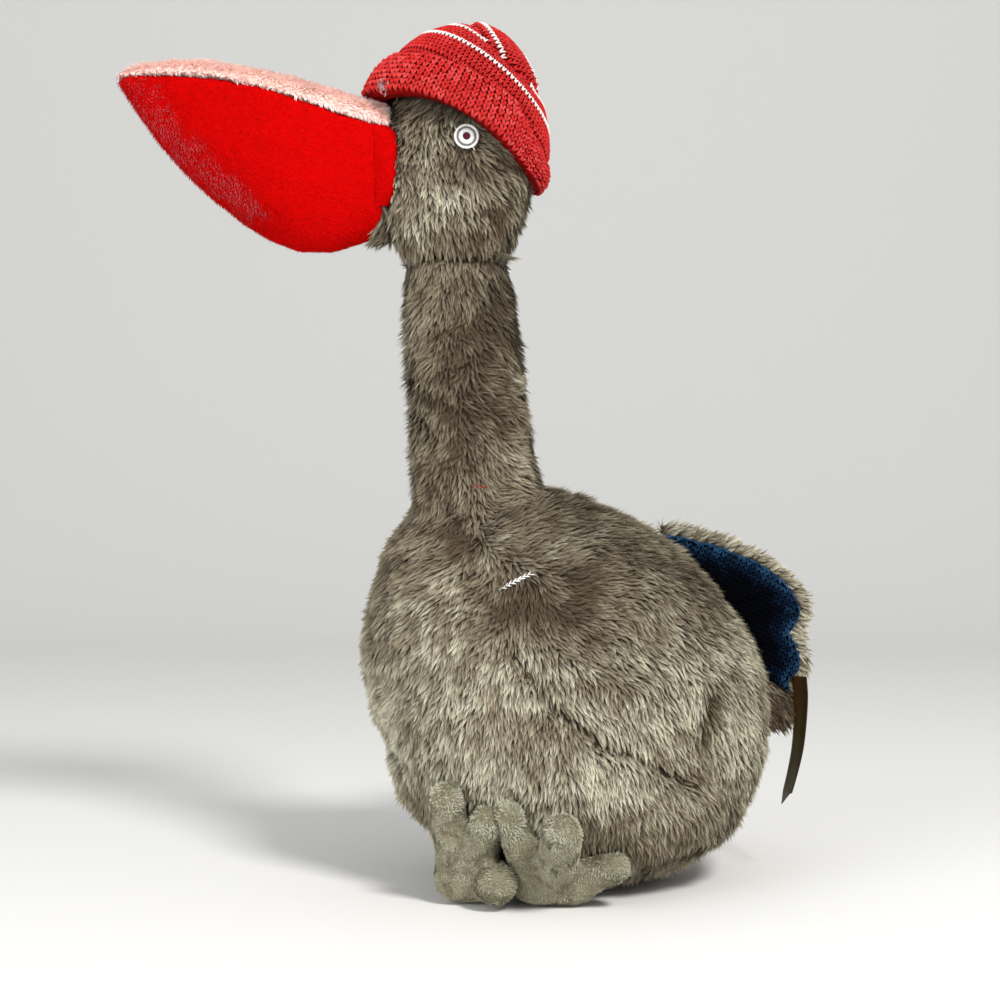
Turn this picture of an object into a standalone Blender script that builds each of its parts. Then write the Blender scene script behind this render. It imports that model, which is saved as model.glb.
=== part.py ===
"""Plush pelican in a knitted hat, sitting. Metres, +Z up, the bird faces -Y and its left is +X.
The origin is the centre of the flat patch that the stuffed body rests on."""

from math import asin, cos, exp, pi, radians, sin, sqrt

import bmesh
import bpy
from mathutils import Matrix, Vector

# Gap that sewn or resting neighbours keep between them
CLEARANCE = 0.0003

# Stuffed body: an egg cut flat where it sits, slumped to the bird's right and forwards
BODY_WIDTH = 0.170
BODY_DEPTH = 0.172
BELLY_HEIGHT = 0.080
BODY_RISE = 0.089
BODY_DROP = 0.0822
RUMP_FULLNESS = 2.3
SLUMP_SIDEWAYS = 0.010
SLUMP_FORWARDS = 0.0365
BODY_SIDES = 40

# Neck: a stuffed tube sewn into the top of the body
NECK_ROOT = Vector((-0.0114, -0.0570, 0.170))
NECK_TOP = Vector((-0.0153, -0.0650, 0.260))
NECK_ROOT_RADIUS = 0.0250
NECK_TOP_RADIUS = 0.0218
NECK_FILLET = 0.010
NECK_RINGS = 8

# Sewn seams of the body, pressed in as grooves
SEAM_RADIUS = 0.0013
PANEL_TWIST = radians(16)
SEAM_PINCH = 0.0030
SEAM_PINCH_WIDTH = 0.012
SIDE_SEAM_ANGLE = radians(56)
SIDE_SEAM_TOP = 0.128
BELLY_SEAM_PEAK = 0.087
BELLY_SEAM_END = 0.028
BELLY_SEAM_REACH = radians(112)

# Hollows pulled into the chest by the stitching: angle, height, depth, reach round, reach up
HOLLOWS = (
    (radians(33), 0.127, 0.0065, radians(15), 0.012),
    (radians(58), 0.112, 0.0050, radians(17), 0.015),
    (radians(-70), 0.120, 0.0030, radians(16), 0.018),
)

# Head, turned to the bird's right
HEAD_TURN = radians(54)
HEAD_LENGTH = 0.0640
HEAD_WIDTH = 0.0560
HEAD_HEIGHT = 0.083
HEAD_WIDEST = 0.044
HEAD_LEAN_BACK = 0.006
HEAD_FULLNESS = 2.2
HEAD_SQUARENESS = 2.5
HEAD_SIDES = 26

# Bill, on a seam line that starts at the head's front
BILL_LENGTH = 0.1205
BILL_PITCH = radians(11.8)
BILL_FORWARD = 0.0240
BILL_HEIGHT = 0.0520
BILL_BURIED = 0.018
BILL_ROOT_WIDTH = 0.038
BILL_WIDEST = 0.046
BILL_TIP_WIDTH = 0.018
BILL_SEAM_ARCH = 0.0062
BILL_TOP_ROOT_THICKNESS = 0.0105
BILL_TOP_TIP_THICKNESS = 0.0070
POUCH_DEPTH = 0.0585
POUCH_ROOT_DEPTH = 0.044
POUCH_DEEPEST = 0.033
BILL_RINGS = 15
BILL_ARC = 12

# Knitted hat: a cap with a turned-up cuff, tilted back on the head
HAT_TILT = radians(28)
HAT_ROLL = radians(5)
HAT_BACK = -0.0010
HAT_LEVEL = 0.0467
HAT_RADIUS = 0.0392
HAT_NARROWING = 0.92
HAT_HEIGHT = 0.0505
HAT_POINT_FORWARD = 0.006
HAT_FULLNESS = 1.75
CROWN_WALL = 0.0030
CUFF_HEIGHT = 0.0195
CUFF_WALL = 0.0062
CUFF_STEP = 0.0026
CUFF_SIDE_LIFT = 0.0075
HAT_RIBS = 36
RIB_DEPTH = 0.0005
STRIPE_RELIEF = 0.0006

# Embroidered eyes
EYE_RADIUS = 0.0060
EYE_BACK = 0.0070
EYE_LEVEL = 0.0465
EYE_RELIEF = 0.0012
EYE_SUNK = 0.0030

# Wings: a fur flap lined with knit, sewn along the flank
WING_HEIGHT = 0.112
WING_OUT = 0.0300
WING_BACK = 0.0410
WING_SWEEP = radians(40)
WING_LENGTH = 0.065
WING_CUP = 0.010
WING_FUR_THICKNESS = 0.0050
WING_LINING_THICKNESS = 0.0022
WING_FUR_BORDER = 0.0055
LINING_LOWEST = -31
LINING_RIBS = 9
LINING_RIB_DEPTH = 0.0006

# Tail
TAIL_LEVEL = 0.055
TAIL_LENGTH = 0.036
TAIL_BURIED = 0.022
TAIL_ROOT_WIDTH = 0.040
TAIL_END_WIDTH = 0.048
TAIL_THICKNESS = 0.017
TAIL_DROOP = 0.008

# Feet: webbed pads with three toes on short legs, turned up against the belly. Every place is
# measured from the belly's front, and a toe is its tip and its radius there
PALM_RADIUS = 0.0104
TOE_ROOT_RADIUS = 0.0092
WEB_RADIUS = 0.0056
WEB_REACH = 0.46
LEG_RADIUS = 0.0075
RIGHT_FOOT = {
    "palm": (Vector((-0.0042, 0.0106, PALM_RADIUS)), Vector((0.0046, 0.0180, PALM_RADIUS))),
    "toes": (
        (Vector((0.0021, -0.0037, 0.0445)), 0.0066),
        (Vector((0.0175, 0.0027, 0.0362)), 0.0062),
        (Vector((0.0179, 0.0083, 0.0107)), 0.0085),
    ),
    "webs": 1,
    "leg_root": Vector((-0.004, 0.037, 0.014)),
}
LEFT_FOOT = {
    "palm": (Vector((0.0231, 0.0258, PALM_RADIUS)), Vector((0.0353, 0.0360, PALM_RADIUS))),
    "toes": (
        (Vector((0.0257, 0.0058, 0.0391)), 0.0062),
        (Vector((0.0512, 0.0076, 0.0346)), 0.0078),
        (Vector((0.0538, 0.0385, 0.0170)), 0.0060),
    ),
    "webs": 2,
    "leg_root": Vector((0.020, 0.044, 0.014)),
}

# Satin ribbon sewn into the left wing's edge
RIBBON_WIDTH = 0.010
RIBBON_THICKNESS = 0.0006
RIBBON_LENGTH = 0.051
RIBBON_TWIST = radians(-50)

PLUSH_TAUPE = (0.36, 0.31, 0.255)
SALMON = (0.80, 0.30, 0.25)
POUCH_RED = (0.72, 0.012, 0.010)
KNIT_RED = (0.60, 0.055, 0.050)
YARN_NAVY = (0.012, 0.035, 0.085)
FOOT_GREY = (0.42, 0.41, 0.32)
THREAD_WHITE = (0.84, 0.82, 0.82)
THREAD_MAROON = (0.12, 0.008, 0.020)
SATIN_BROWN = (0.15, 0.085, 0.020)


def smooth_step(value, low, high):
    share = min(1.0, max(0.0, (value - low) / (high - low)))
    return share * share * (3 - 2 * share)


def mix(first, second, share):
    return first + (second - first) * share


def soft_max(first, second, width):
    return 0.5 * (first + second + sqrt((first - second) ** 2 + width * width))


def fabric(name, colour, roughness):
    material = bpy.data.materials.new(name)
    material.use_nodes = True
    shader = material.node_tree.nodes["Principled BSDF"]
    shader.inputs["Base Color"].default_value = (*colour, 1)
    shader.inputs["Roughness"].default_value = roughness
    shader.inputs["Metallic"].default_value = 0
    return material


def mesh_object(name, bm, material, sharp_angle=radians(40)):
    bmesh.ops.recalc_face_normals(bm, faces=bm.faces)
    mesh = bpy.data.meshes.new(name)
    bm.to_mesh(mesh)
    bm.free()
    mesh.shade_smooth()
    mesh.set_sharp_from_angle(angle=sharp_angle)
    made = bpy.data.objects.new(name, mesh)
    bpy.context.scene.collection.objects.link(made)
    if material:
        mesh.materials.append(material)
    return made


def loft(rings, closed=False):
    """Quads between neighbouring rings. A ring of one point is a pole, and an open end gets a flat cap."""
    bm = bmesh.new()
    laid = [[bm.verts.new(point) for point in ring] for ring in rings]
    pairs = list(zip(laid, laid[1:]))
    if closed:
        pairs.append((laid[-1], laid[0]))
    for low, high in pairs:
        if len(low) == 1 and len(high) == 1:
            continue
        count = max(len(low), len(high))
        for i in range(count):
            after = (i + 1) % count
            if len(low) == 1:
                bm.faces.new((low[0], high[after], high[i]))
            elif len(high) == 1:
                bm.faces.new((low[i], low[after], high[0]))
            else:
                bm.faces.new((low[i], low[after], high[after], high[i]))
    if not closed:
        for ring in (laid[0], laid[-1]):
            if len(ring) > 2:
                bm.faces.new(ring)
    return bm


def cutter(name, bm):
    made = mesh_object(name, bm, None)
    hide(made)
    return made


def hide(tool):
    tool.hide_render = True
    tool.display_type = "WIRE"


def boolean(target, tool, operation="DIFFERENCE"):
    step = target.modifiers.new(operation.title() + " " + tool.name, "BOOLEAN")
    step.operation = operation
    step.solver = "EXACT"
    step.object = tool


# Body and neck


def egg_centre(height):
    share = min(1.0, max(0.0, height / (BELLY_HEIGHT + BODY_RISE))) ** 2
    return Vector((-SLUMP_SIDEWAYS * share, -SLUMP_FORWARDS * share))


def egg_half_sizes(height, grow=0.0):
    """Half width and half depth of the stuffed egg at a height."""
    above = height > BELLY_HEIGHT
    reach = (BODY_RISE if above else BODY_DROP) + grow
    fullness = 2.0 if above else RUMP_FULLNESS
    share = abs(height - BELLY_HEIGHT) / reach
    if share >= 1:
        return 0.0, 0.0
    size = (1 - share**fullness) ** (1 / fullness)
    return (BODY_WIDTH / 2 + grow) * size, (BODY_DEPTH / 2 + grow) * size


def neck_centre(height):
    share = (height - NECK_ROOT.z) / (NECK_TOP.z - NECK_ROOT.z)
    return mix(NECK_ROOT.xy, NECK_TOP.xy, share)


def neck_radius(height, grow=0.0):
    share = max(0.0, (height - NECK_ROOT.z) / (NECK_TOP.z - NECK_ROOT.z))
    return mix(NECK_ROOT_RADIUS, NECK_TOP_RADIUS, share) + grow


def spine(height):
    """The line that the body's rings are read from: up the egg, then up the neck."""
    share = smooth_step(height, BELLY_HEIGHT, NECK_ROOT.z - 0.02)
    return mix(egg_centre(height), neck_centre(height), share)


def egg_reach(height, direction, grow):
    """Distance from the spine to the egg's surface along a level direction, 0 where the egg isn't met."""
    half_x, half_y = egg_half_sizes(height, grow)
    if half_x == 0:
        return 0.0
    start = spine(height) - egg_centre(height)
    sx, sy = start.x / half_x, start.y / half_y
    dx, dy = direction.x / half_x, direction.y / half_y
    a, b, c = dx * dx + dy * dy, sx * dx + sy * dy, sx * sx + sy * sy - 1
    inside = b * b - a * c
    return (-b + sqrt(inside)) / a if inside > 0 else 0.0


def belly_seam_height(angle):
    """The belly panel's top edge: an arch over the feet that runs down towards the tail."""
    blunt = radians(9)
    away = sqrt(angle * angle + blunt * blunt) - blunt
    share = max(0.0, 1 - away / BELLY_SEAM_REACH)
    return mix(BELLY_SEAM_END, BELLY_SEAM_PEAK, share**1.15)


def turned(angle):
    """An angle from the panels' middle, between half a turn either way."""
    return (angle - PANEL_TWIST + pi) % (2 * pi) - pi


def pinch(angle, height):
    """How far the stuffed cloth is pulled in beside its seams and at its hollows."""
    away = turned(angle)
    arch = belly_seam_height(away)
    near = (height - arch) / SEAM_PINCH_WIDTH
    fade = smooth_step(BELLY_SEAM_REACH + radians(12), abs(away), abs(away) + 0.3)
    pulled = SEAM_PINCH * exp(-near * near) * fade
    aside = (abs(away) - SIDE_SEAM_ANGLE) * BODY_WIDTH / 2 / SEAM_PINCH_WIDTH
    fade = smooth_step(height, arch - 0.01, arch) * (
        1 - smooth_step(height, SIDE_SEAM_TOP - 0.01, SIDE_SEAM_TOP + 0.01)
    )
    pulled += 0.7 * SEAM_PINCH * exp(-aside * aside) * fade
    for middle, level, depth, around, up in HOLLOWS:
        off = (angle - middle + pi) % (2 * pi) - pi
        pulled += depth * exp(-((off / around) ** 2) - ((height - level) / up) ** 2)
    return pulled


def body_point(angle, height, grow=0.0):
    """A point of the body's surface. Angle 0 is the bird's front and a quarter turn is its left."""
    direction = Vector((sin(angle), -cos(angle)))
    reach = egg_reach(height, direction, grow)
    if height > BELLY_HEIGHT:
        tube = neck_radius(height, grow) * smooth_step(
            height, BELLY_HEIGHT, NECK_ROOT.z
        )
        reach = soft_max(reach, tube, NECK_FILLET * tube / NECK_ROOT_RADIUS)
    reach -= pinch(angle, height) * smooth_step(height, 0.0, 0.02)
    level = spine(height) + direction * reach
    return Vector((level.x, level.y, height))


def body_heights(lowest, highest):
    """Ring heights at even steps round the egg, and then up the neck."""
    turn = asin(min(1.0, BELLY_HEIGHT / BODY_DROP))
    below = [BELLY_HEIGHT - BODY_DROP * sin(turn * (1 - i / 9)) for i in range(9)]
    above = [BELLY_HEIGHT + BODY_RISE * sin(pi / 2 * i / 13) for i in range(14)]
    start = BELLY_HEIGHT + BODY_RISE
    neck = [mix(start, NECK_TOP.z, (i + 1) / NECK_RINGS) for i in range(NECK_RINGS)]
    heights = below + above + neck
    heights[0], heights[-1] = lowest, highest
    return heights


def body_bmesh(grow=0.0):
    rings = [
        [
            body_point(2 * pi * i / BODY_SIDES, height, grow)
            for i in range(BODY_SIDES)
        ]
        for height in body_heights(-grow, NECK_TOP.z + grow)
    ]
    return loft(rings)


def seam_cutter(name, points):
    """A thin tube along a line on the body, which presses a sewn seam into it."""
    sides = 6
    rings = []
    for i, point in enumerate(points):
        ahead = points[min(i + 1, len(points) - 1)] - points[max(i - 1, 0)]
        turn = ahead.to_track_quat("Z", "Y").to_matrix()
        rings.append(
            [
                point
                + turn
                @ Vector(
                    (
                        SEAM_RADIUS * cos(2 * pi * k / sides),
                        SEAM_RADIUS * sin(2 * pi * k / sides),
                        0,
                    )
                )
                for k in range(sides)
            ]
        )
    return cutter(name, loft(rings))


def belly_seam():
    steps = 36
    turn = BELLY_SEAM_REACH
    angles = [mix(-turn, turn, i / steps) for i in range(steps + 1)]
    return [body_point(PANEL_TWIST + a, belly_seam_height(a)) for a in angles]


def side_seam(side):
    """From the shoulder down to a little above the belly panel's edge."""
    steps = 10
    angle = side * SIDE_SEAM_ANGLE
    bottom = belly_seam_height(angle) + 4 * SEAM_RADIUS
    heights = [mix(bottom, SIDE_SEAM_TOP, i / steps) for i in range(steps + 1)]
    return [body_point(PANEL_TWIST + angle, height) for height in heights]


def make_body(plush):
    body = mesh_object("body", body_bmesh(), plush)
    boolean(body, seam_cutter("belly_seam_cut", belly_seam()))
    for side, name in ((1, "left"), (-1, "right")):
        boolean(body, seam_cutter(name + "_seam_cut", side_seam(side)))
    return body


# Head


def head_frame():
    """Local +X is the way the bill points and +Y is the head's left side."""
    place = Matrix.Translation(NECK_TOP)
    return place @ Matrix.Rotation(-pi / 2 - HEAD_TURN, 4, "Z")


def head_section(height, grow=0.0):
    """Centre along the head, half length and half width at a height above the neck joint."""
    if height < HEAD_WIDEST:
        share = sin(pi / 2 * max(0.0, height) / HEAD_WIDEST) ** 0.8
        half_length = mix(NECK_TOP_RADIUS, HEAD_LENGTH / 2, share)
        half_width = mix(NECK_TOP_RADIUS, HEAD_WIDTH / 2, share)
    else:
        rise = HEAD_HEIGHT - HEAD_WIDEST + grow
        up = min(1.0, (height - HEAD_WIDEST) / rise)
        size = (1 - up**HEAD_FULLNESS) ** (1 / HEAD_FULLNESS)
        half_length = HEAD_LENGTH / 2 * size
        half_width = HEAD_WIDTH / 2 * size
    lean = -HEAD_LEAN_BACK * (max(0.0, height) / HEAD_HEIGHT) ** 3
    return lean, half_length + grow, half_width + grow


def head_point(middle, half_length, half_width, turn, height):
    """The plan is a round at the neck and at the top, and squarer where the bill is sewn on."""
    square = smooth_step(height, 0.0, HEAD_WIDEST * 0.5)
    power = 2 / mix(2.0, HEAD_SQUARENESS, square)
    along = abs(cos(turn)) ** power * (1 if cos(turn) > 0 else -1)
    out = abs(sin(turn)) ** power * (1 if sin(turn) > 0 else -1)
    return Vector((middle + half_length * along, half_width * out, height))


def head_bmesh(grow=0.0):
    top = HEAD_HEIGHT + grow
    low = [HEAD_WIDEST * i / 7 for i in range(7)]
    rise = top - HEAD_WIDEST
    high = [HEAD_WIDEST + rise * sin(pi / 2 * i / 8) for i in range(8)]
    heights = [CLEARANCE - grow] + low[1:] + high
    rings = []
    for height in heights:
        middle, half_length, half_width = head_section(height, grow)
        turns = [2 * pi * i / HEAD_SIDES for i in range(HEAD_SIDES)]
        rings.append([head_point(middle, half_length, half_width, a, height) for a in turns])
    rings.append([Vector((head_section(top)[0], 0, top))])
    bm = loft(rings)
    bm.transform(head_frame())
    return bm


def make_head(plush):
    return mesh_object("head", head_bmesh(), plush)


# Bill


def bill_frame():
    place = Matrix.Translation((BILL_FORWARD, 0, BILL_HEIGHT))
    return head_frame() @ place @ Matrix.Rotation(-BILL_PITCH, 4, "Y")


def bill_half_width(along):
    share = max(0.0, along / BILL_LENGTH)
    if share < 0.3:
        wide = mix(BILL_ROOT_WIDTH, BILL_WIDEST, smooth_step(share, 0.0, 0.3))
    else:
        wide = mix(BILL_WIDEST, BILL_TIP_WIDTH, smooth_step(share, 0.3, 1.0))
    return wide / 2 * sqrt(max(0.0, 1 - share**6))


def bill_seam_level(along):
    """The seam between the top panel and the pouch bows upwards between root and tip."""
    share = min(1.0, max(0.0, along / BILL_LENGTH))
    return BILL_SEAM_ARCH * sin(pi * share**1.5)


def pouch_depth(along):
    if along < POUCH_DEEPEST:
        share = sin(pi / 2 * max(0.0, along) / POUCH_DEEPEST)
        return mix(POUCH_ROOT_DEPTH, POUCH_DEPTH, share)
    share = (along - POUCH_DEEPEST) / (BILL_LENGTH - POUCH_DEEPEST)
    return POUCH_DEPTH * (1 - min(1.0, share) ** 1.9)


def bill_top_height(along):
    share = max(0.0, along / BILL_LENGTH)
    thickness = mix(BILL_TOP_ROOT_THICKNESS, BILL_TOP_TIP_THICKNESS, share**0.6)
    return thickness * sqrt(max(0.0, 1 - share**8))


def bill_bmesh(height_at, side):
    """Half-round sections along the bill: side +1 is the panel over the seam, -1 the pouch under it."""
    rings = []
    stations = [
        mix(-BILL_BURIED, BILL_LENGTH, sin(pi / 2 * i / BILL_RINGS) ** 0.9)
        for i in range(BILL_RINGS)
    ]
    flat_steps = 4
    for along in stations:
        half = bill_half_width(along)
        height = height_at(along)
        floor = bill_seam_level(along) + side * CLEARANCE / 2
        ring = []
        for i in range(BILL_ARC + 1):
            turn = pi * i / BILL_ARC
            out = half * cos(turn)
            up = floor + side * height * sin(turn) ** 0.85
            ring.append(Vector((along, out, up)))
        for i in range(1, flat_steps):
            ring.append(Vector((along, mix(-half, half, i / flat_steps), floor)))
        rings.append(ring)
    tip = bill_seam_level(BILL_LENGTH) + side * CLEARANCE / 2
    rings.append([Vector((BILL_LENGTH, 0, tip))])
    bm = loft(rings)
    bm.transform(bill_frame())
    return bm


def make_bill(salmon, red, head_space, hat_space):
    top = mesh_object("bill_top", bill_bmesh(bill_top_height, 1), salmon)
    pouch = mesh_object("bill_pouch", bill_bmesh(pouch_depth, -1), red)
    boolean(top, hat_space)
    boolean(top, head_space)
    boolean(pouch, head_space)


# Hat


def hat_frame():
    place = Matrix.Translation((-HAT_BACK, 0, HAT_LEVEL))
    lean = Matrix.Rotation(-HAT_TILT, 4, "Y") @ Matrix.Rotation(HAT_ROLL, 4, "X")
    return head_frame() @ place @ lean


def crown_radius(up):
    share = min(1.0, max(0.0, up / HAT_HEIGHT))
    return HAT_RADIUS * (1 - share**HAT_FULLNESS) ** (1 / HAT_FULLNESS)


def hat_ring(up, radius, ribs=0.0, lift=0.0):
    """One round of knitting. Lift raises its sides over the eyes, and ribs is the depth of the wales."""
    forward = HAT_POINT_FORWARD * smooth_step(up, 0.0, HAT_HEIGHT)
    ring = []
    count = 2 * HAT_RIBS
    for i in range(count):
        turn = 2 * pi * i / count
        at = radius + (ribs if i % 2 == 0 else -ribs)
        raised = up + lift * sin(turn) ** 2
        side = HAT_NARROWING * at * sin(turn)
        ring.append(Vector((forward + at * cos(turn), side, raised)))
    return ring


def hat_outside(grow=0.0):
    """Rounds from the cuff's lower edge over its turned-up face, the step behind it and the crown."""
    step = CUFF_STEP
    cuff_top = CUFF_HEIGHT
    rounds = []
    for share in (0.0, 0.15, 0.5, 0.85, 1.0):
        up = cuff_top * share
        bulge = step * (0.55 + 0.45 * sin(pi * share))
        radius = crown_radius(up) + bulge * (0.55 if share == 0 else 1.0)
        lift = CUFF_SIDE_LIFT * (1 - 0.45 * share)
        rounds.append((up, radius + grow, RIB_DEPTH, lift))
    tuck = crown_radius(cuff_top)
    rounds.append((cuff_top, tuck + grow - 0.0004, RIB_DEPTH, CUFF_SIDE_LIFT * 0.5))
    stripes = (0.34, 0.58, 0.76, 0.89)
    for level in stripes:
        middle = mix(cuff_top + 0.002, HAT_HEIGHT, level - 0.18)
        for offset, relief in ((-0.0016, 0.0), (0.0, STRIPE_RELIEF), (0.0016, 0.0)):
            up = middle + offset
            lift = CUFF_SIDE_LIFT * 0.5 * (1 - level)
            rounds.append(
                (up, crown_radius(up) + relief + grow, RIB_DEPTH * (1 - level), lift)
            )
    return rounds


def hat_bmesh():
    outside = hat_outside()
    rings = [hat_ring(*one) for one in outside]
    rings.append([Vector((HAT_POINT_FORWARD, 0, HAT_HEIGHT))])
    wall = CROWN_WALL
    rings.append([Vector((HAT_POINT_FORWARD, 0, HAT_HEIGHT - wall))])
    for share in (0.9, 0.65, 0.35, 0.0):
        up = (HAT_HEIGHT - wall) * share
        thick = mix(CUFF_WALL, wall, smooth_step(up, CUFF_HEIGHT * 0.6, CUFF_HEIGHT))
        lift = CUFF_SIDE_LIFT * (1 - share)
        rings.append(hat_ring(up, crown_radius(up) - thick, 0.0, lift))
    bm = loft(rings, closed=True)
    bm.transform(hat_frame())
    return bm


def hat_space_bmesh():
    """The hat with no hollow and a little larger, for what the cuff presses on."""
    grow = CLEARANCE + RIB_DEPTH
    rounds = [(up, radius, 0.0, lift) for up, radius, _, lift in hat_outside(grow)]
    low = rounds[0]
    rounds[0] = (-CLEARANCE, *low[1:])
    rings = [hat_ring(-CLEARANCE, low[1] * 0.55, 0.0, low[3])]
    rings += [hat_ring(*one) for one in rounds]
    rings.append([Vector((HAT_POINT_FORWARD, 0, HAT_HEIGHT + grow))])
    bm = loft(rings)
    bm.transform(hat_frame())
    return bm


def make_hat(red, head_space):
    hat = mesh_object("knit_hat", hat_bmesh(), red)
    boolean(hat, head_space)


# Eyes


def eye_frame(side):
    """On the head's side, local +Z pointing out of it."""
    middle, half_length, half_width = head_section(EYE_LEVEL)
    along = -EYE_BACK
    share = (along - middle) / half_length
    out = side * half_width * sqrt(1 - share * share)
    normal = Vector((share / half_length, out / half_width**2, 0)).normalized()
    turn = Vector((0, 0, 1)).rotation_difference(normal).to_matrix().to_4x4()
    return head_frame() @ Matrix.Translation((along, out, EYE_LEVEL)) @ turn


def eye_bmesh(side):
    """Satin-stitched rings: an outer ring, a groove, an inner ring and the pupil's knot."""
    profile = (
        (1.00, -EYE_SUNK),
        (1.00, EYE_RELIEF * 0.4),
        (0.92, EYE_RELIEF),
        (0.80, EYE_RELIEF),
        (0.71, EYE_RELIEF * 0.35),
        (0.60, EYE_RELIEF * 0.35),
        (0.51, EYE_RELIEF),
        (0.34, EYE_RELIEF),
        (0.24, EYE_RELIEF * 0.6),
    )
    sides = 16
    rings = [
        [
            Vector(
                (
                    EYE_RADIUS * share * cos(2 * pi * i / sides),
                    EYE_RADIUS * share * sin(2 * pi * i / sides),
                    up,
                )
            )
            for i in range(sides)
        ]
        for share, up in profile
    ]
    rings.append([Vector((0, 0, EYE_RELIEF * 1.3))])
    bm = loft(rings)
    bm.transform(eye_frame(side))
    return bm


def make_eyes(thread, head_space):
    for side, name in ((1, "eye_left"), (-1, "eye_right")):
        eye = mesh_object(name, eye_bmesh(side), thread)
        boolean(eye, head_space)


# Wings


def wing_reach(angle):
    """How far the flap reaches from its root at an angle above level, with three feather lobes at its end."""
    points = (
        (-62, 0.050),
        (-48, 0.068),
        (-41, 0.075),
        (-35, 0.073),
        (-28, 0.066),
        (-22, 0.069),
        (-15, 0.0665),
        (-8, 0.060),
        (0, 0.0655),
        (11, 0.062),
        (21, 0.056),
        (41, 0.0455),
        (66, 0.040),
        (92, 0.040),
    )
    for (low, near), (high, far) in zip(points, points[1:]):
        if angle <= high:
            return mix(near, far, (angle - low) / (high - low))
    return points[-1][1]


def wing_frame(side):
    """Local +X runs out along the flap, +Z is up and +Y is the fur side, facing backwards."""
    middle = egg_centre(WING_HEIGHT)
    place = Matrix.Translation(
        (middle.x + side * WING_OUT, middle.y + WING_BACK, WING_HEIGHT)
    )
    turn = Matrix.Rotation(WING_SWEEP, 4, "Z")
    return place @ (turn if side > 0 else Matrix.Scale(-1, 4, (1, 0, 0)) @ turn)


def flap_cup(along):
    """The flap curls backwards towards its end."""
    return WING_CUP * (max(0.0, along) / WING_LENGTH) ** 2


def wing_point(angle, share, inset, depth):
    """A point of the flap: angle above level, share of its reach, and depth through the cloth."""
    reach = max(0.0, wing_reach(angle) - inset) * share
    along, up = reach * cos(radians(angle)), reach * sin(radians(angle))
    return Vector((along, depth + flap_cup(along), up))


def wing_bmesh(side, low, inset, front, back, ribs=0.0):
    """A fan of strips between two faces with a rounded rim."""
    high, rows, columns = 92, 27, 3
    angles = [mix(low, high, i / rows) for i in range(rows + 1)]
    middle, edge = (front + back) / 2, min(0.0015, (back - front) / 2)
    bm = bmesh.new()

    def face_grid(depth, relief):
        grid = []
        for i, angle in enumerate(angles):
            row = []
            for j in range(1, columns + 1):
                share = 0.12 + 0.88 * j / columns
                wave = relief * cos(2 * pi * LINING_RIBS * i / rows)
                row.append(
                    bm.verts.new(wing_point(angle, share, inset + edge, depth + wave))
                )
            grid.append(row)
        return grid

    faces = face_grid(front, ribs), face_grid(back, 0.0)
    rim = [
        bm.verts.new(wing_point(angle, 1.0, inset, middle)) for angle in angles
    ]
    for grid in faces:
        for i in range(rows):
            for j in range(columns - 1):
                bm.faces.new(
                    (grid[i][j], grid[i][j + 1], grid[i + 1][j + 1], grid[i + 1][j])
                )
            bm.faces.new((grid[i][-1], rim[i], rim[i + 1], grid[i + 1][-1]))
    ahead, behind = faces
    for i in range(rows):
        bm.faces.new((ahead[i][0], ahead[i + 1][0], behind[i + 1][0], behind[i][0]))
    for i in (0, rows):
        edge_loop = ahead[i] + [rim[i]] + behind[i][::-1]
        bm.faces.new(edge_loop)
    bm.transform(wing_frame(side))
    return bm


def make_wings(plush, navy, body_space):
    for side, name in ((1, "left"), (-1, "right")):
        fur = mesh_object(
            f"wing_{name}_fur",
            wing_bmesh(side, -62, 0.0, CLEARANCE, WING_FUR_THICKNESS),
            plush,
        )
        lining = mesh_object(
            f"wing_{name}_lining",
            wing_bmesh(
                side,
                LINING_LOWEST,
                WING_FUR_BORDER,
                -WING_LINING_THICKNESS,
                0.0,
                LINING_RIB_DEPTH,
            ),
            navy,
        )
        for piece in (fur, lining):
            boolean(piece, body_space)


# Tail


def make_tail(plush, body_space):
    middle = egg_centre(TAIL_LEVEL)
    start = middle.y + egg_half_sizes(TAIL_LEVEL)[1] - TAIL_BURIED
    length = TAIL_BURIED + TAIL_LENGTH
    sides, steps = 16, 8
    rings = []
    for i in range(steps):
        share = sin(pi / 2 * i / steps)
        end = sqrt(max(0.0, 1 - share**5))
        half = mix(TAIL_ROOT_WIDTH, TAIL_END_WIDTH, share) / 2 * end
        thick = TAIL_THICKNESS / 2 * mix(1.0, 0.6, share) * end
        level = TAIL_LEVEL - TAIL_DROOP * share * share
        rings.append(
            [
                Vector(
                    (
                        middle.x + half * cos(2 * pi * k / sides),
                        start + length * share,
                        level + thick * sin(2 * pi * k / sides),
                    )
                )
                for k in range(sides)
            ]
        )
    rings.append([Vector((middle.x, start + length, TAIL_LEVEL - TAIL_DROOP))])
    tail = mesh_object("tail", loft(rings), plush)
    boolean(tail, body_space)


# Feet


def capsule(start, end, start_radius, end_radius, sides=12, rings=3):
    """A round-ended stuffed tube between two points."""
    axis = end - start
    turn = Vector((0, 0, 1)).rotation_difference(axis).to_matrix()
    laid = [[start - turn @ Vector((0, 0, start_radius))]]
    for i in range(1, rings + 1):
        lift = pi / 2 * (i / rings - 1)
        laid.append((start, start_radius, lift))
    for i in range(rings):
        lift = pi / 2 * i / rings
        laid.append((end, end_radius, lift))
    rows = [laid[0]]
    for centre, radius, lift in laid[1:]:
        rows.append(
            [
                centre
                + turn
                @ Vector(
                    (
                        radius * cos(lift) * cos(2 * pi * k / sides),
                        radius * cos(lift) * sin(2 * pi * k / sides),
                        radius * sin(lift),
                    )
                )
                for k in range(sides)
            ]
        )
    rows.append([end + turn @ Vector((0, 0, end_radius))])
    return loft(rows)


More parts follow.
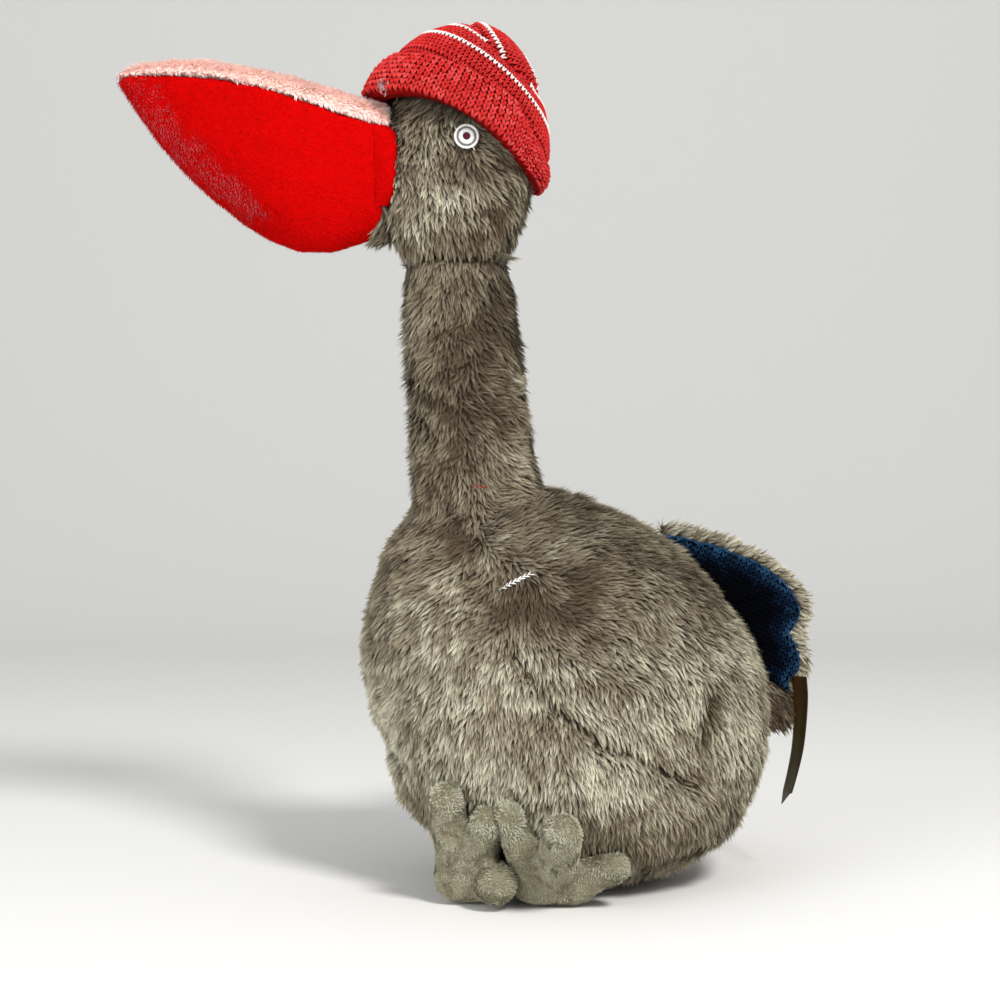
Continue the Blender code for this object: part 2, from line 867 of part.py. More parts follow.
def foot_tubes(foot, grow=0.0):
    """The stuffed tubes of one foot: the palm, the leg back to the body, the toes and the webs between."""
    inner, outer = foot["palm"]
    middle = (inner + outer) / 2
    tubes = [(inner, outer, PALM_RADIUS, PALM_RADIUS)]
    tubes.append((middle, foot["leg_root"], LEG_RADIUS, LEG_RADIUS))
    for root, (tip, radius) in zip((inner, middle, outer), foot["toes"]):
        tubes.append((root, tip, TOE_ROOT_RADIUS, radius))
    for i in range(foot["webs"]):
        between = (foot["toes"][i][0] + foot["toes"][i + 1][0]) / 2
        tubes.append((middle, mix(middle, between, WEB_REACH), TOE_ROOT_RADIUS, WEB_RADIUS))
    front = Vector((0, -BODY_DEPTH / 2, 0))
    return [(a + front, b + front, r + grow, s + grow) for a, b, r, s in tubes]


def make_foot(name, foot, grey):
    first, *others = [capsule(*tube) for tube in foot_tubes(foot)]
    made = mesh_object(name, first, grey)
    for i, bm in enumerate(others):
        boolean(made, cutter(f"{name}_tube_{i}", bm), "UNION")
    return made


def make_feet(grey, body_space):
    right = make_foot("foot_right", RIGHT_FOOT, grey)
    left = make_foot("foot_left", LEFT_FOOT, grey)
    boolean(right, body_space)
    boolean(left, body_space)
    for i, tube in enumerate(foot_tubes(RIGHT_FOOT, CLEARANCE)):
        boolean(left, cutter(f"foot_right_space_{i}", capsule(*tube)))


# Ribbon


def make_ribbon(satin):
    """A satin ribbon from between the flap's lower feathers, hanging and curling to its slant-cut end."""
    flap = wing_frame(1)
    across = Matrix.Rotation(RIBBON_TWIST, 3, "Z") @ Vector((1, 0, 0))
    front = across.cross(Vector((0, 0, 1)))
    edge = wing_point(-28, 1.0, 0.0, CLEARANCE)
    half, thick = RIBBON_WIDTH / 2, RIBBON_THICKNESS / 2
    inner = edge.x - across.x * half
    back = flap_cup(inner) - CLEARANCE / 2
    start = Vector((edge.x, back + across.y * half, edge.z))
    steps = 12
    rows = []
    for i in range(steps + 1):
        share = i / steps
        sway = 0.0020 * sin(pi * min(1.0, share * 1.25)) - 0.0085 * share**2
        middle = start + Vector((sway, -0.0012 * share, -RIBBON_LENGTH * share))
        slant = Vector((0, 0, 0.004)) if i == steps else Vector((0, 0, 0))
        one, other = across * half + slant, -across * half - slant
        face = front * thick
        ring = (one + face, other + face, other - face, one - face)
        rows.append([flap @ (middle + corner) for corner in ring])
    mesh_object("ribbon", loft(rows), satin)


def main():
    for old in list(bpy.data.objects):
        bpy.data.objects.remove(old)
    plush = fabric("taupe plush", PLUSH_TAUPE, 0.95)
    salmon = fabric("salmon velour", SALMON, 0.85)
    red = fabric("red velour", POUCH_RED, 0.8)
    knit_red = fabric("red yarn", KNIT_RED, 0.9)
    navy = fabric("navy yarn", YARN_NAVY, 0.9)
    grey = fabric("grey fleece", FOOT_GREY, 0.95)
    thread = fabric("white thread", THREAD_WHITE, 0.5)
    satin = fabric("brown satin", SATIN_BROWN, 0.35)

    body_space = cutter("body_space", body_bmesh(CLEARANCE))
    head_space = cutter("head_space", head_bmesh(CLEARANCE))
    hat_space = cutter("hat_space", hat_space_bmesh())
    make_body(plush)
    make_head(plush)
    make_bill(salmon, red, head_space, hat_space)
    make_hat(knit_red, head_space)
    make_eyes(thread, head_space)
    make_wings(plush, navy, body_space)
    make_tail(plush, body_space)
    make_feet(grey, body_space)
    make_ribbon(satin)


main()
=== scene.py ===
from math import acos, atan2, cos, exp, pi, radians, sin, sqrt

import bmesh
import bpy
import numpy as np
from mathutils import Matrix, Vector, noise
from mathutils.bvhtree import BVHTree


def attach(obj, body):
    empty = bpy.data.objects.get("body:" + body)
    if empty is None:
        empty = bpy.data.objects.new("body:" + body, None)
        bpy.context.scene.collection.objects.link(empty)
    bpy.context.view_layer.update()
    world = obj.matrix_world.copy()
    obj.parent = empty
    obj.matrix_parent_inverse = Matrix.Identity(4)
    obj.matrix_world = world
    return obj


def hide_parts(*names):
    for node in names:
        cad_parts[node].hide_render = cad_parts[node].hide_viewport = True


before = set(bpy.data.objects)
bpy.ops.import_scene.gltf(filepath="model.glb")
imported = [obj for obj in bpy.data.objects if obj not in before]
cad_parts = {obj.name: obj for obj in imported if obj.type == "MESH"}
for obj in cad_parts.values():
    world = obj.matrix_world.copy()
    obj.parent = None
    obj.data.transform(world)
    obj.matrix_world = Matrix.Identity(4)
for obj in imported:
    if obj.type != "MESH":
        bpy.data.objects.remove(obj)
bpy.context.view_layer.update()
scene = bpy.context.scene
scene.view_settings.view_transform = "Standard"
noise.seed_set(3)  # else Blender's vector noise starts from the clock


# Camera, which also says where a spot of the photograph lies on the toy

shot = {
    "azimuth": radians(40),
    "aside": -0.035,
    "distance": 0.850,
    "height": 0.162,
    "lens": 71.2,
    "sensor": 36.0,
    "pixels": 1000,
}
acrossView = Vector((cos(shot["azimuth"]), sin(shot["azimuth"]), 0))
intoView = Vector((-sin(shot["azimuth"]), cos(shot["azimuth"]), 0))
upward = Vector((0, 0, 1))


def placeCamera():
    data = bpy.data.cameras.new("camera")
    data.lens = shot["lens"]
    data.sensor_width = shot["sensor"]
    made = bpy.data.objects.new("camera", data)
    scene.collection.objects.link(made)
    made.location = (
        acrossView * shot["aside"] - intoView * shot["distance"] + upward * shot["height"]
    )
    made.rotation_euler = intoView.to_track_quat("-Z", "Y").to_euler()
    scene.camera = made
    return made


camera = placeCamera()


def sightLine(px, py):
    # direction from the camera through a point of the square picture
    half = shot["pixels"] / 2
    focal = shot["pixels"] * shot["lens"] / shot["sensor"]
    return intoView * focal + acrossView * (px - half) + upward * (half - py)


def seen(tree, px, py):
    # the spot of a surface that shows at a point of the picture
    return tree.ray_cast(camera.location, sightLine(px, py).normalized())[0]


def traced(tree, *pixels):
    found = [seen(tree, px, py) for px, py in pixels]
    return [np.array(p) for p in found if p is not None]


# Node trees


class Value:
    # a socket that takes part in Python sums
    def __init__(self, maker, socket):
        self.maker = maker
        self.socket = socket

    def __add__(self, other):
        return self.maker.math("ADD", self, other)

    def __mul__(self, other):
        return self.maker.math("MULTIPLY", self, other)

    def __sub__(self, other):
        return self.maker.math("SUBTRACT", self, other)


class Maker:
    # adds nodes to one tree
    def __init__(self, tree):
        self.tree = tree

    def add(self, kind, settings=None, values=None, out=0):
        node = self.tree.nodes.new(kind)
        for key, value in (settings or {}).items():
            if key == "stops":
                self.fillRamp(node.color_ramp, value)
            else:
                setattr(node, key, value)
        for key, value in (values or {}).items():
            self.put(node.inputs[key], value)
        return Value(self, node.outputs[out])

    def fillRamp(self, ramp, stops):
        while len(ramp.elements) < len(stops):
            ramp.elements.new(0.5)
        for element, (place, colour) in zip(ramp.elements, stops):
            element.position = place
            element.color = (*colour, 1)

    def put(self, socket, value):
        if isinstance(value, Value):
            self.tree.links.new(value.socket, socket)
        elif isinstance(value, tuple) and len(value) == 3 and socket.type == "RGBA":
            socket.default_value = (*value, 1)
        else:
            socket.default_value = value

    def math(self, operation, *terms):
        return self.add(
            "ShaderNodeMath", {"operation": operation}, dict(enumerate(terms))
        )

    def mix(self, factor, low, high):
        return self.add(
            "ShaderNodeMix", {"data_type": "RGBA"}, {0: factor, 6: low, 7: high}, 2
        )

    def ease(self, value, low, high, start=0.0, end=1.0):
        return self.add(
            "ShaderNodeMapRange",
            {"interpolation_type": "SMOOTHSTEP"},
            {0: value, 1: low, 2: high, 3: start, 4: end},
        )

    def noise(self, vector, scale, detail=3.0, rough=0.5):
        return self.add(
            "ShaderNodeTexNoise",
            {},
            {"Vector": vector, "Scale": scale, "Detail": detail, "Roughness": rough},
        )

    def split(self, vector):
        node = self.tree.nodes.new("ShaderNodeSeparateXYZ")
        self.put(node.inputs[0], vector)
        return Value(self, node.outputs[0]), Value(self, node.outputs[1])

    def named(self, name, kind="FLOAT"):
        return self.add(
            "GeometryNodeInputNamedAttribute", {"data_type": kind}, {"Name": name}
        )

    def chance(self, low, high, seed):
        return self.add(
            "FunctionNodeRandomValue", {}, {2: low, 3: high, "Seed": seed}, 1
        )


def newMaterial(name, rough=0.9, sheen=0.0, tint=(1, 1, 1), shine=0.25):
    material = bpy.data.materials.new(name)
    material.use_nodes = True
    shader = material.node_tree.nodes["Principled BSDF"]
    shader.inputs["Roughness"].default_value = rough
    shader.inputs["Sheen Weight"].default_value = sheen
    shader.inputs["Sheen Roughness"].default_value = 0.45
    shader.inputs["Sheen Tint"].default_value = (*tint, 1)
    shader.inputs["Specular IOR Level"].default_value = shine
    return material, Maker(material.node_tree), shader


def bumped(maker, shader, height, strength, distance):
    values = {"Strength": strength, "Distance": distance, "Height": height}
    maker.put(shader.inputs["Normal"], maker.add("ShaderNodeBump", {}, values))


def strandUv(maker):
    # along the strand in x, shade of the strand in y
    return maker.split(maker.add("ShaderNodeUVMap", {"uv_map": "OFBake"}))


def pileMaterial(name, shades, root, depth, sheen=0.2, shine=0.25):
    # dull, middle and bright strands, all darker towards the root: painted shade deep in the pile
    dull, middle, bright = shades
    material, maker, shader = newMaterial(name, 0.88, sheen, bright, shine)
    upStrand, shade = strandUv(maker)
    colour = maker.mix(maker.ease(shade, 0.03, 0.50), dull, middle)
    colour = maker.mix(maker.ease(shade, 0.48, 0.97), colour, bright)
    colour = maker.mix(maker.ease(upStrand, 0.70, 0.05, 0.0, depth), colour, root)
    maker.put(shader.inputs["Base Color"], colour)
    return material


def skinMaterial(name, colour, dark, scale=260.0, depth=0.0004, shine=0.15):
    # the woven ground that the pile or the knitting stands on
    material, maker, shader = newMaterial(name, 0.95, 0.0, colour, shine)
    place = maker.add("ShaderNodeTexCoord", out=3)
    grain = maker.noise(place, scale, 4.0, 0.6)
    patches = maker.noise(place, 60.0, 2.0)
    mixed = maker.mix(maker.ease(grain, 0.35, 0.7), dark, colour)
    mixed = maker.mix(maker.ease(patches, 0.35, 0.75, 0.0, 0.35), mixed, dark)
    maker.put(shader.inputs["Base Color"], mixed)
    bumped(maker, shader, grain, 0.6, depth)
    return material


# Mesh helpers


def link(name, mesh, finish=None):
    made = bpy.data.objects.new(name, mesh)
    scene.collection.objects.link(made)
    if finish:
        mesh.materials.clear()
        mesh.materials.append(finish)
    return made


def meshOf(name, bm):
    mesh = bpy.data.meshes.new(name)
    bm.to_mesh(mesh)
    bm.free()
    mesh.shade_smooth()
    return mesh


def wholeMesh(nodeName):
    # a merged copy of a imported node's triangles
    bm = bmesh.new()
    bm.from_mesh(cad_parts[nodeName].data)
    bmesh.ops.remove_doubles(bm, verts=bm.verts, dist=0.00001)
    return meshOf(nodeName + "Whole", bm)


def flatten(made):
    # the evaluated object becomes a plain mesh, with no modifier left
    graph = bpy.context.evaluated_depsgraph_get()
    mesh = bpy.data.meshes.new_from_object(
        made.evaluated_get(graph), depsgraph=graph, preserve_all_data_layers=True
    )
    made.modifiers.clear()
    made.data = mesh
    return mesh


def stuffedSkin(name, nodeName, finish, look):
    # an even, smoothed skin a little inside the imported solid, for the pile to stand on
    made = link(name, wholeMesh(nodeName))
    remesh = made.modifiers.new("even", "REMESH")
    remesh.mode = "VOXEL"
    remesh.voxel_size = look["voxel"]
    remesh.use_smooth_shade = True
    soften = made.modifiers.new("soften", "SMOOTH")
    soften.factor = 0.6
    soften.iterations = look["smoothing"]
    mesh = flatten(made)
    mesh.materials.clear()
    mesh.materials.append(finish)
    points, normals = readPoints(mesh)
    writePoints(mesh, points - normals * look["shrink"])
    mesh.shade_smooth()
    return made


def readPoints(mesh):
    points = np.empty(len(mesh.vertices) * 3)
    mesh.vertices.foreach_get("co", points)
    normals = np.empty(len(mesh.vertices) * 3)
    mesh.vertex_normals.foreach_get("vector", normals)
    return points.reshape(-1, 3), normals.reshape(-1, 3)


def writePoints(mesh, points):
    mesh.vertices.foreach_set("co", points.ravel())
    mesh.update()


def treeOf(mesh):
    spots = [v.co for v in mesh.vertices]
    return BVHTree.FromPolygons(spots, [tuple(p.vertices) for p in mesh.polygons])


def keep(mesh, **layers):
    # one number or one vector a point, under the names that the node trees read
    for name, values in layers.items():
        values = np.asarray(values, dtype=float)
        kind, key = ("FLOAT_VECTOR", "vector") if values.ndim == 2 else ("FLOAT", "value")
        mesh.attributes.new(name, kind, "POINT").data.foreach_set(key, values.ravel())


def inSurface(vectors, normals):
    # the part of each vector that lies in the surface, at length 1
    flat = vectors - normals * np.sum(vectors * normals, axis=1, keepdims=True)
    return flat / np.maximum(np.linalg.norm(flat, axis=1, keepdims=True), 1e-9)


def swirl(points, size, seed):
    # a smooth vector noise, one vector a point
    shift = Vector((seed * 3.7, seed * 1.9, seed * 5.3))
    return np.array([noise.noise_vector(Vector(p) / size + shift) for p in points])


def bumps(points, size, seed):
    shift = Vector((seed * 2.3, seed * 4.1, seed * 1.7))
    return np.array([noise.noise(Vector(p) / size + shift) for p in points])


def apart(points, spot):
    return np.linalg.norm(points - np.array(spot), axis=1)


def inFrame(place, points):
    turn = np.array(place.inverted())
    return points @ turn[:3, :3].T + turn[:3, 3]


def nearLine(points, line):
    # distance from each point to a line of straight pieces, and the way off it
    best = np.full(len(points), 1.0)
    away = np.zeros((len(points), 3))
    for a, b in zip(line, line[1:]):
        step = b - a
        share = np.clip((points - a) @ step / max(step @ step, 1e-12), 0, 1)
        off = points - a - share[:, None] * step
        gap = np.linalg.norm(off, axis=1)
        closer = gap < best
        best = np.where(closer, gap, best)
        away[closer] = off[closer]
    return best, away


def brushed(points, tree, marks, reach):
    # the way the pile is stroked: each mark is a point of the picture and a way across and down it
    way = np.zeros((len(points), 3))
    for px, py, right, down in marks:
        spot = seen(tree, px, py)
        if spot is not None:
            stroke = np.array((acrossView * right - upward * down).normalized())
            way += np.exp(-((apart(points, spot) / reach) ** 2))[:, None] * stroke
    return way


def shaded(points, tree, marks):
    # lighter and darker patches: each mark is a point of the picture, a radius and a change
    change = np.zeros(len(points))
    for px, py, radius, amount in marks:
        spot = seen(tree, px, py)
        if spot is not None:
            change += amount * np.exp(-((apart(points, spot) / radius) ** 2))
    return change


def evened(way):
    # strokes come to length 1, and very weak ones stay shorter
    return way / np.maximum(np.linalg.norm(way, axis=1, keepdims=True), 0.3)


def eased(value, low, high):
    share = min(1.0, max(0.0, (value - low) / (high - low)))
    return share * share * (3 - 2 * share)


def fade(values, start, run):
    # from 0 at the start to 1 after the run, which goes down where it is below 0
    return np.clip((values - start) / run, 0, 1)


def bell(values, width, power=2):
    return np.exp(-((values / width) ** power))


def groom(mesh, normals, way, tone, pile=1.0, thick=1.0, rise=1.0):
    # how the pile lies, its shade, length and density, and how far it stands up
    even = np.ones(len(normals))
    keep(mesh, comb=inSurface(way, normals))
    keep(mesh, pile=pile * even, thick=thick * even, rise=rise * even, tone=tone * even)


# Pile


def tuftMesh(name, fibres, spread, gather, width, seed):
    # fine fibres that close in towards their tips: x across, y along, z out of the cloth
    rng = np.random.default_rng(seed)
    points, faces, places = [], [], []
    for i in range(fibres):
        turn = 2.4 * i
        share = sqrt((i + 0.5) / fibres)
        x, y = spread * share * cos(turn), spread * share * sin(turn)
        long = 1.0 - 0.30 * share * rng.random()
        tilt = rng.uniform(-0.6, 0.6)
        side = Vector((cos(tilt), 0, sin(tilt))) * width / 2
        root = Vector((x, y, 0))
        high = 0.14 * (1 - share * share) + 0.05 * rng.random()
        tip = Vector((x * gather + rng.uniform(-0.03, 0.03), y + long, high))
        first = len(points)
        points += [root - side, root + side, tip]
        faces.append((first, first + 1, first + 2))
        low = 0.88 * rng.random()
        places += [(0, low), (0, low + 0.12), (1, low + 0.06)]
    mesh = bpy.data.meshes.new(name)
    mesh.from_pydata(points, [], faces)
    uv = mesh.uv_layers.new(name="strand")
    for loop in mesh.loops:
        uv.data[loop.index].uv = places[loop.vertex_index]
    mesh.shade_smooth()
    return bpy.data.objects.new(name, mesh)


def newTree(name, wanted):
    # a geometry tree with named inputs; wanted maps an input's name to its kind
    tree = bpy.data.node_groups.new(name, "GeometryNodeTree")
    keys = {}
    for label, kind in wanted.items():
        socket = tree.interface.new_socket(label, in_out="INPUT", socket_type="NodeSocket" + kind)
        keys[label] = socket.identifier
    tree.interface.new_socket("Made", in_out="OUTPUT", socket_type="NodeSocketGeometry")
    maker = Maker(tree)
    entry = tree.nodes.new("NodeGroupInput")
    given = {s.name: Value(maker, s) for s in entry.outputs if s.name}
    return tree, maker, keys, given


def finishTree(maker, placed, finish, across):
    # real faces, the map that the colour is read from, and the material
    real = maker.add("GeometryNodeRealizeInstances", {}, {"Geometry": placed})
    upStrand, side = maker.split(maker.named("strand", "FLOAT_VECTOR"))
    shade = maker.math("MINIMUM", maker.math("MAXIMUM", maker.named("shade"), 0.0), 1.0)
    row = shade * (0.98 - across) + 0.01
    place = maker.add(
        "ShaderNodeCombineXYZ", {}, {0: upStrand * 0.98 + 0.01, 1: row + side * across}
    )
    mapped = maker.add(
        "GeometryNodeStoreNamedAttribute",
        {"data_type": "FLOAT2", "domain": "CORNER"},
        {"Geometry": real, "Name": "OFBake", "Value": place},
    )
    done = maker.add(
        "GeometryNodeSetMaterial", {}, {"Geometry": mapped, "Material": finish}
    )
    leave = maker.tree.nodes.new("NodeGroupOutput")
    maker.put(leave.inputs[0], done)


def facingOut(maker, out, way, euler):
    # turned by two axes first, then by a little of its own
    facing = maker.add(
        "FunctionNodeAxesToRotation",
        {"primary_axis": "Z", "secondary_axis": "Y"},
        {0: out, 1: way},
    )
    turn = maker.add("FunctionNodeEulerToRotation", {}, {0: euler})
    return maker.add(
        "FunctionNodeRotateRotation", {"rotation_space": "LOCAL"}, {0: facing, 1: turn}
    )


def pileTree():
    wanted = {"Cloth": "Geometry", "Tuft": "Object", "Finish": "Material", "Seed": "Int"}
    for label in ("Gap", "Density", "Length", "Lift", "Stray", "Vary"):
        wanted[label] = "Float"
    tree, maker, keys, given = newTree("pile", wanted)
    spread = tree.nodes.new("GeometryNodeDistributePointsOnFaces")
    spread.distribute_method = "POISSON"
    maker.put(spread.inputs["Mesh"], given["Cloth"])
    maker.put(spread.inputs["Distance Min"], given["Gap"])
    maker.put(spread.inputs["Density Max"], given["Density"])
    maker.put(spread.inputs["Density Factor"], maker.named("thick"))
    maker.put(spread.inputs["Seed"], given["Seed"])
    points, normal = Value(maker, spread.outputs[0]), Value(maker, spread.outputs[1])
    tone = maker.named("tone") + maker.chance(-0.5, 0.5, 11) * given["Vary"]
    toned = maker.add(
        "GeometryNodeStoreNamedAttribute",
        {"data_type": "FLOAT", "domain": "POINT"},
        {"Geometry": points, "Name": "shade", "Value": tone},
    )
    stray = given["Stray"]
    euler = maker.add(
        "ShaderNodeCombineXYZ",
        {},
        {
            0: given["Lift"] * maker.chance(0.5, 1.5, 12) * maker.named("rise"),
            1: maker.chance(-1, 1, 13) * stray * 1.6,
            2: maker.chance(-1, 1, 14) * stray,
        },
    )
    turned = facingOut(maker, normal, maker.named("comb", "FLOAT_VECTOR"), euler)
    long = given["Length"] * maker.named("pile") * maker.chance(0.72, 1.2, 15)
    size = maker.add(
        "ShaderNodeCombineXYZ",
        {},
        {0: given["Length"] * maker.chance(0.75, 1.3, 16), 1: long, 2: long},
    )
    tuft = maker.add("GeometryNodeObjectInfo", {}, {"Object": given["Tuft"]}, "Geometry")
    values = {"Points": toned, "Instance": tuft, "Rotation": turned, "Scale": size}
    placed = maker.add("GeometryNodeInstanceOnPoints", {}, values)
    finishTree(maker, placed, given["Finish"], 0.10)
    return tree, keys


def stitchTree():
    # one yarn or thread shape on each point, turned by the point's own axes
    wanted = {"Places": "Geometry", "Stitch": "Object", "Finish": "Material", "Jitter": "Float"}
    tree, maker, keys, given = newTree("stitches", wanted)
    points = maker.add("GeometryNodeMeshToPoints", {}, {"Mesh": given["Places"]})
    wobble = [maker.chance(-1, 1, seed) * given["Jitter"] for seed in (5, 6, 7)]
    euler = maker.add("ShaderNodeCombineXYZ", {}, dict(enumerate(wobble)))
    out, way = maker.named("out", "FLOAT_VECTOR"), maker.named("way", "FLOAT_VECTOR")
    turned = facingOut(maker, out, way, euler)
    shape = maker.add("GeometryNodeObjectInfo", {}, {"Object": given["Stitch"]}, "Geometry")
    size = maker.named("size", "FLOAT_VECTOR")
    values = {"Points": points, "Instance": shape, "Rotation": turned, "Scale": size}
    placed = maker.add("GeometryNodeInstanceOnPoints", {}, values)
    finishTree(maker, placed, given["Finish"], 0.012)
    return tree, keys


pileGroup, pileKeys = pileTree()
stitchGroup, stitchKeys = stitchTree()


def settle(made, group, keys, values):
    step = made.modifiers.new("grow", "NODES")
    step.node_group = group
    for label, value in values.items():
        step[keys[label]] = value
    mesh = flatten(made)
    for name in "strand shade comb pile thick tone rise out way size".split():
        if name in mesh.attributes:
            mesh.attributes.remove(mesh.attributes[name])
    mesh.uv_layers["OFBake"].active_render = True
    return mesh


def growPile(name, skin, tuft, finish, look, seed, low=-1.0, high=1.0):
    # the skin's points carry comb, pile, thick, tone and rise; low and high bound the zone
    made = link(name, skin.data.copy())
    bm = bmesh.new()
    bm.from_mesh(made.data)
    gone = [f for f in bm.faces if not low <= f.calc_center_median().z < high]
    bmesh.ops.delete(bm, geom=gone, context="FACES")
    bm.to_mesh(made.data)
    bm.free()
    values = {
        "Tuft": tuft,
        "Finish": finish,
        "Seed": seed,
        "Gap": look["gap"],
        "Density": 4 / look["gap"] ** 2,
        "Length": look["length"],
        "Lift": radians(look["lift"]),
        "Stray": radians(look["stray"]),
        "Vary": look["vary"],
    }
    done = settle(made, pileGroup, pileKeys, values)
    print(f"{name}: {len(done.polygons)} faces")
    return made


def sewOn(name, places, stitch, finish, jitter=0.06):
    # places: rows of point, out, way, size and shade
    mesh = bpy.data.meshes.new(name)
    mesh.from_pydata([tuple(row[0]) for row in places], [], [])
    columns = {"out": 1, "way": 2, "size": 3}
    keep(mesh, **{key: [tuple(row[i]) for row in places] for key, i in columns.items()})
    keep(mesh, shade=[row[4] for row in places])
    made = link(name, mesh)
    values = {"Stitch": stitch, "Finish": finish, "Jitter": jitter}
    done = settle(made, stitchGroup, stitchKeys, values)
    print(f"{name}: {len(places)} stitches, {len(done.polygons)} faces")
    return made


# Body and neck

bodyLook = {
    "voxel": 0.0024,
    "smoothing": 5,
    "shrink": 0.0017,
    "gap": 0.00106,
    "length": 0.0056,
    "lift": 23,
    "stray": 13,
    "vary": 0.34,
    "creaseWidth": 0.0024,
    "creaseDepth": 0.0022,
    "partedWidth": 0.0014,
    "asideWidth": 0.0045,
    "neckFrom": 0.155,
    "collarFrom": 0.246,
    "zones": (-1.0, 0.052, 0.096, 0.140, 1.0),
}
# point of the picture, then the way the pile lies there, to the right and down
bodyStrokes = (
    (400, 505, -0.8, 0.6),
    (378, 560, -0.6, 0.8),
    (420, 600, -0.65, 0.75),
    (450, 540, -0.8, 0.5),
    (500, 545, 0.8, -0.45),
    (535, 520, 0.85, -0.4),
    (570, 545, 0.9, -0.15),
    (600, 525, 0.95, 0.2),
    (640, 560, 0.9, 0.5),
    (515, 610, -0.5, 0.85),
    (480, 585, -0.7, 0.7),
    (572, 612, 0.7, -0.5),
    (605, 640, 0.8, 0.55),
    (540, 655, 0.1, 1.0),
    (485, 680, -0.2, 1.0),
    (395, 705, -0.7, 0.5),
    (430, 660, -0.35, 0.9),
    (440, 740, -0.1, 1.0),
    (520, 740, 0.0, 1.0),
    (600, 790, 0.05, 1.0),
    (625, 690, 0.45, 0.85),
    (670, 640, 0.6, 0.75),
    (700, 585, 0.8, 0.6),
    (740, 660, 0.5, 0.85),
    (665, 740, 0.35, 0.9),
    (745, 730, 0.3, 0.95),
    (680, 810, 0.4, 0.7),
    # neck
    (412, 280, -0.8, 0.5),
    (410, 330, -0.8, 0.65),
    (450, 300, -0.4, 0.8),
    (498, 285, 0.6, 0.7),
    (480, 340, 0.3, 0.9),
    (466, 385, 0.1, 1.0),
    (417, 400, -0.2, 1.0),
    (498, 400, 0.6, 0.75),
    (510, 372, 0.8, 0.4),
    (412, 450, -0.3, 1.0),
    (465, 455, 0.3, 0.9),
    (510, 450, 0.8, -0.3),
    (440, 480, -0.4, 0.9),
)
# point of the picture, radius, change of tone
bodyTones = (
    (462, 541, 0.010, -0.44),
    (437, 520, 0.008, -0.15),
    (500, 520, 0.012, -0.10),
    (540, 516, 0.010, -0.12),
    (548, 545, 0.007, 0.20),
    (590, 541, 0.009, 0.24),
    (512, 606, 0.013, -0.44),
    (573, 618, 0.012, -0.38),
    (585, 582, 0.009, -0.36),
    (545, 600, 0.011, -0.24),
    (402, 620, 0.018, 0.10),
    (528, 690, 0.020, 0.14),
    (700, 640, 0.018, 0.16),
    (665, 690, 0.015, 0.12),
    (745, 650, 0.018, 0.26),
    (745, 715, 0.018, 0.30),
    (735, 760, 0.012, 0.20),
    # these four darken the dart crease on the right side: painted shade in the crease
    (713, 695, 0.0042, -0.70),
    (711, 715, 0.0042, -0.75),
    (706, 736, 0.0036, -0.60),
    (698, 774, 0.0036, -0.45),
    (466, 396, 0.014, -0.22),
    (474, 313, 0.014, -0.12),
    (417, 331, 0.008, 0.30),
    (512, 375, 0.005, 0.45),
    (510, 455, 0.008, 0.50),
    (420, 455, 0.007, 0.12),
)
# lines of the picture where the cloth is pulled in, and how deep
bodyCreases = (
    (((514, 652), (536, 686), (553, 707)), 0.7),
    (((553, 707), (575, 723), (604, 746), (639, 755), (668, 771), (700, 787), (745, 805)), 1.1),
    (((713, 690), (708, 712), (705, 742)), 0.55),
    (((688, 583), (694, 600), (703, 623)), 0.45),
    (((375, 578), (373, 610), (376, 642)), 1.0),
    (((382, 717), (390, 741), (399, 757), (407, 785), (418, 805), (429, 822)), 1.1),
    (((446, 505), (462, 523), (474, 550), (480, 573)), 0.5),
    (((420, 690), (398, 712), (388, 738)), 0.45),
)

taupePile = pileMaterial(
    "taupePile",
    ((0.100, 0.070, 0.042), (0.290, 0.244, 0.166), (0.700, 0.665, 0.510)),
    # root colour: painted shade deep between the tufts
    (0.034, 0.024, 0.015),
    0.88,
    0.22,
)
# a dark ground, whose colour is painted shade that shows in the gaps between the tufts
taupeSkin = skinMaterial("taupeSkin", (0.070, 0.052, 0.034), (0.030, 0.021, 0.014))
furTuft = tuftMesh("furTuft", 8, 0.17, 0.36, 0.078, 4)

bodySkin = stuffedSkin("bodySkin", "body", taupeSkin, bodyLook)
bodyTree = treeOf(bodySkin.data)


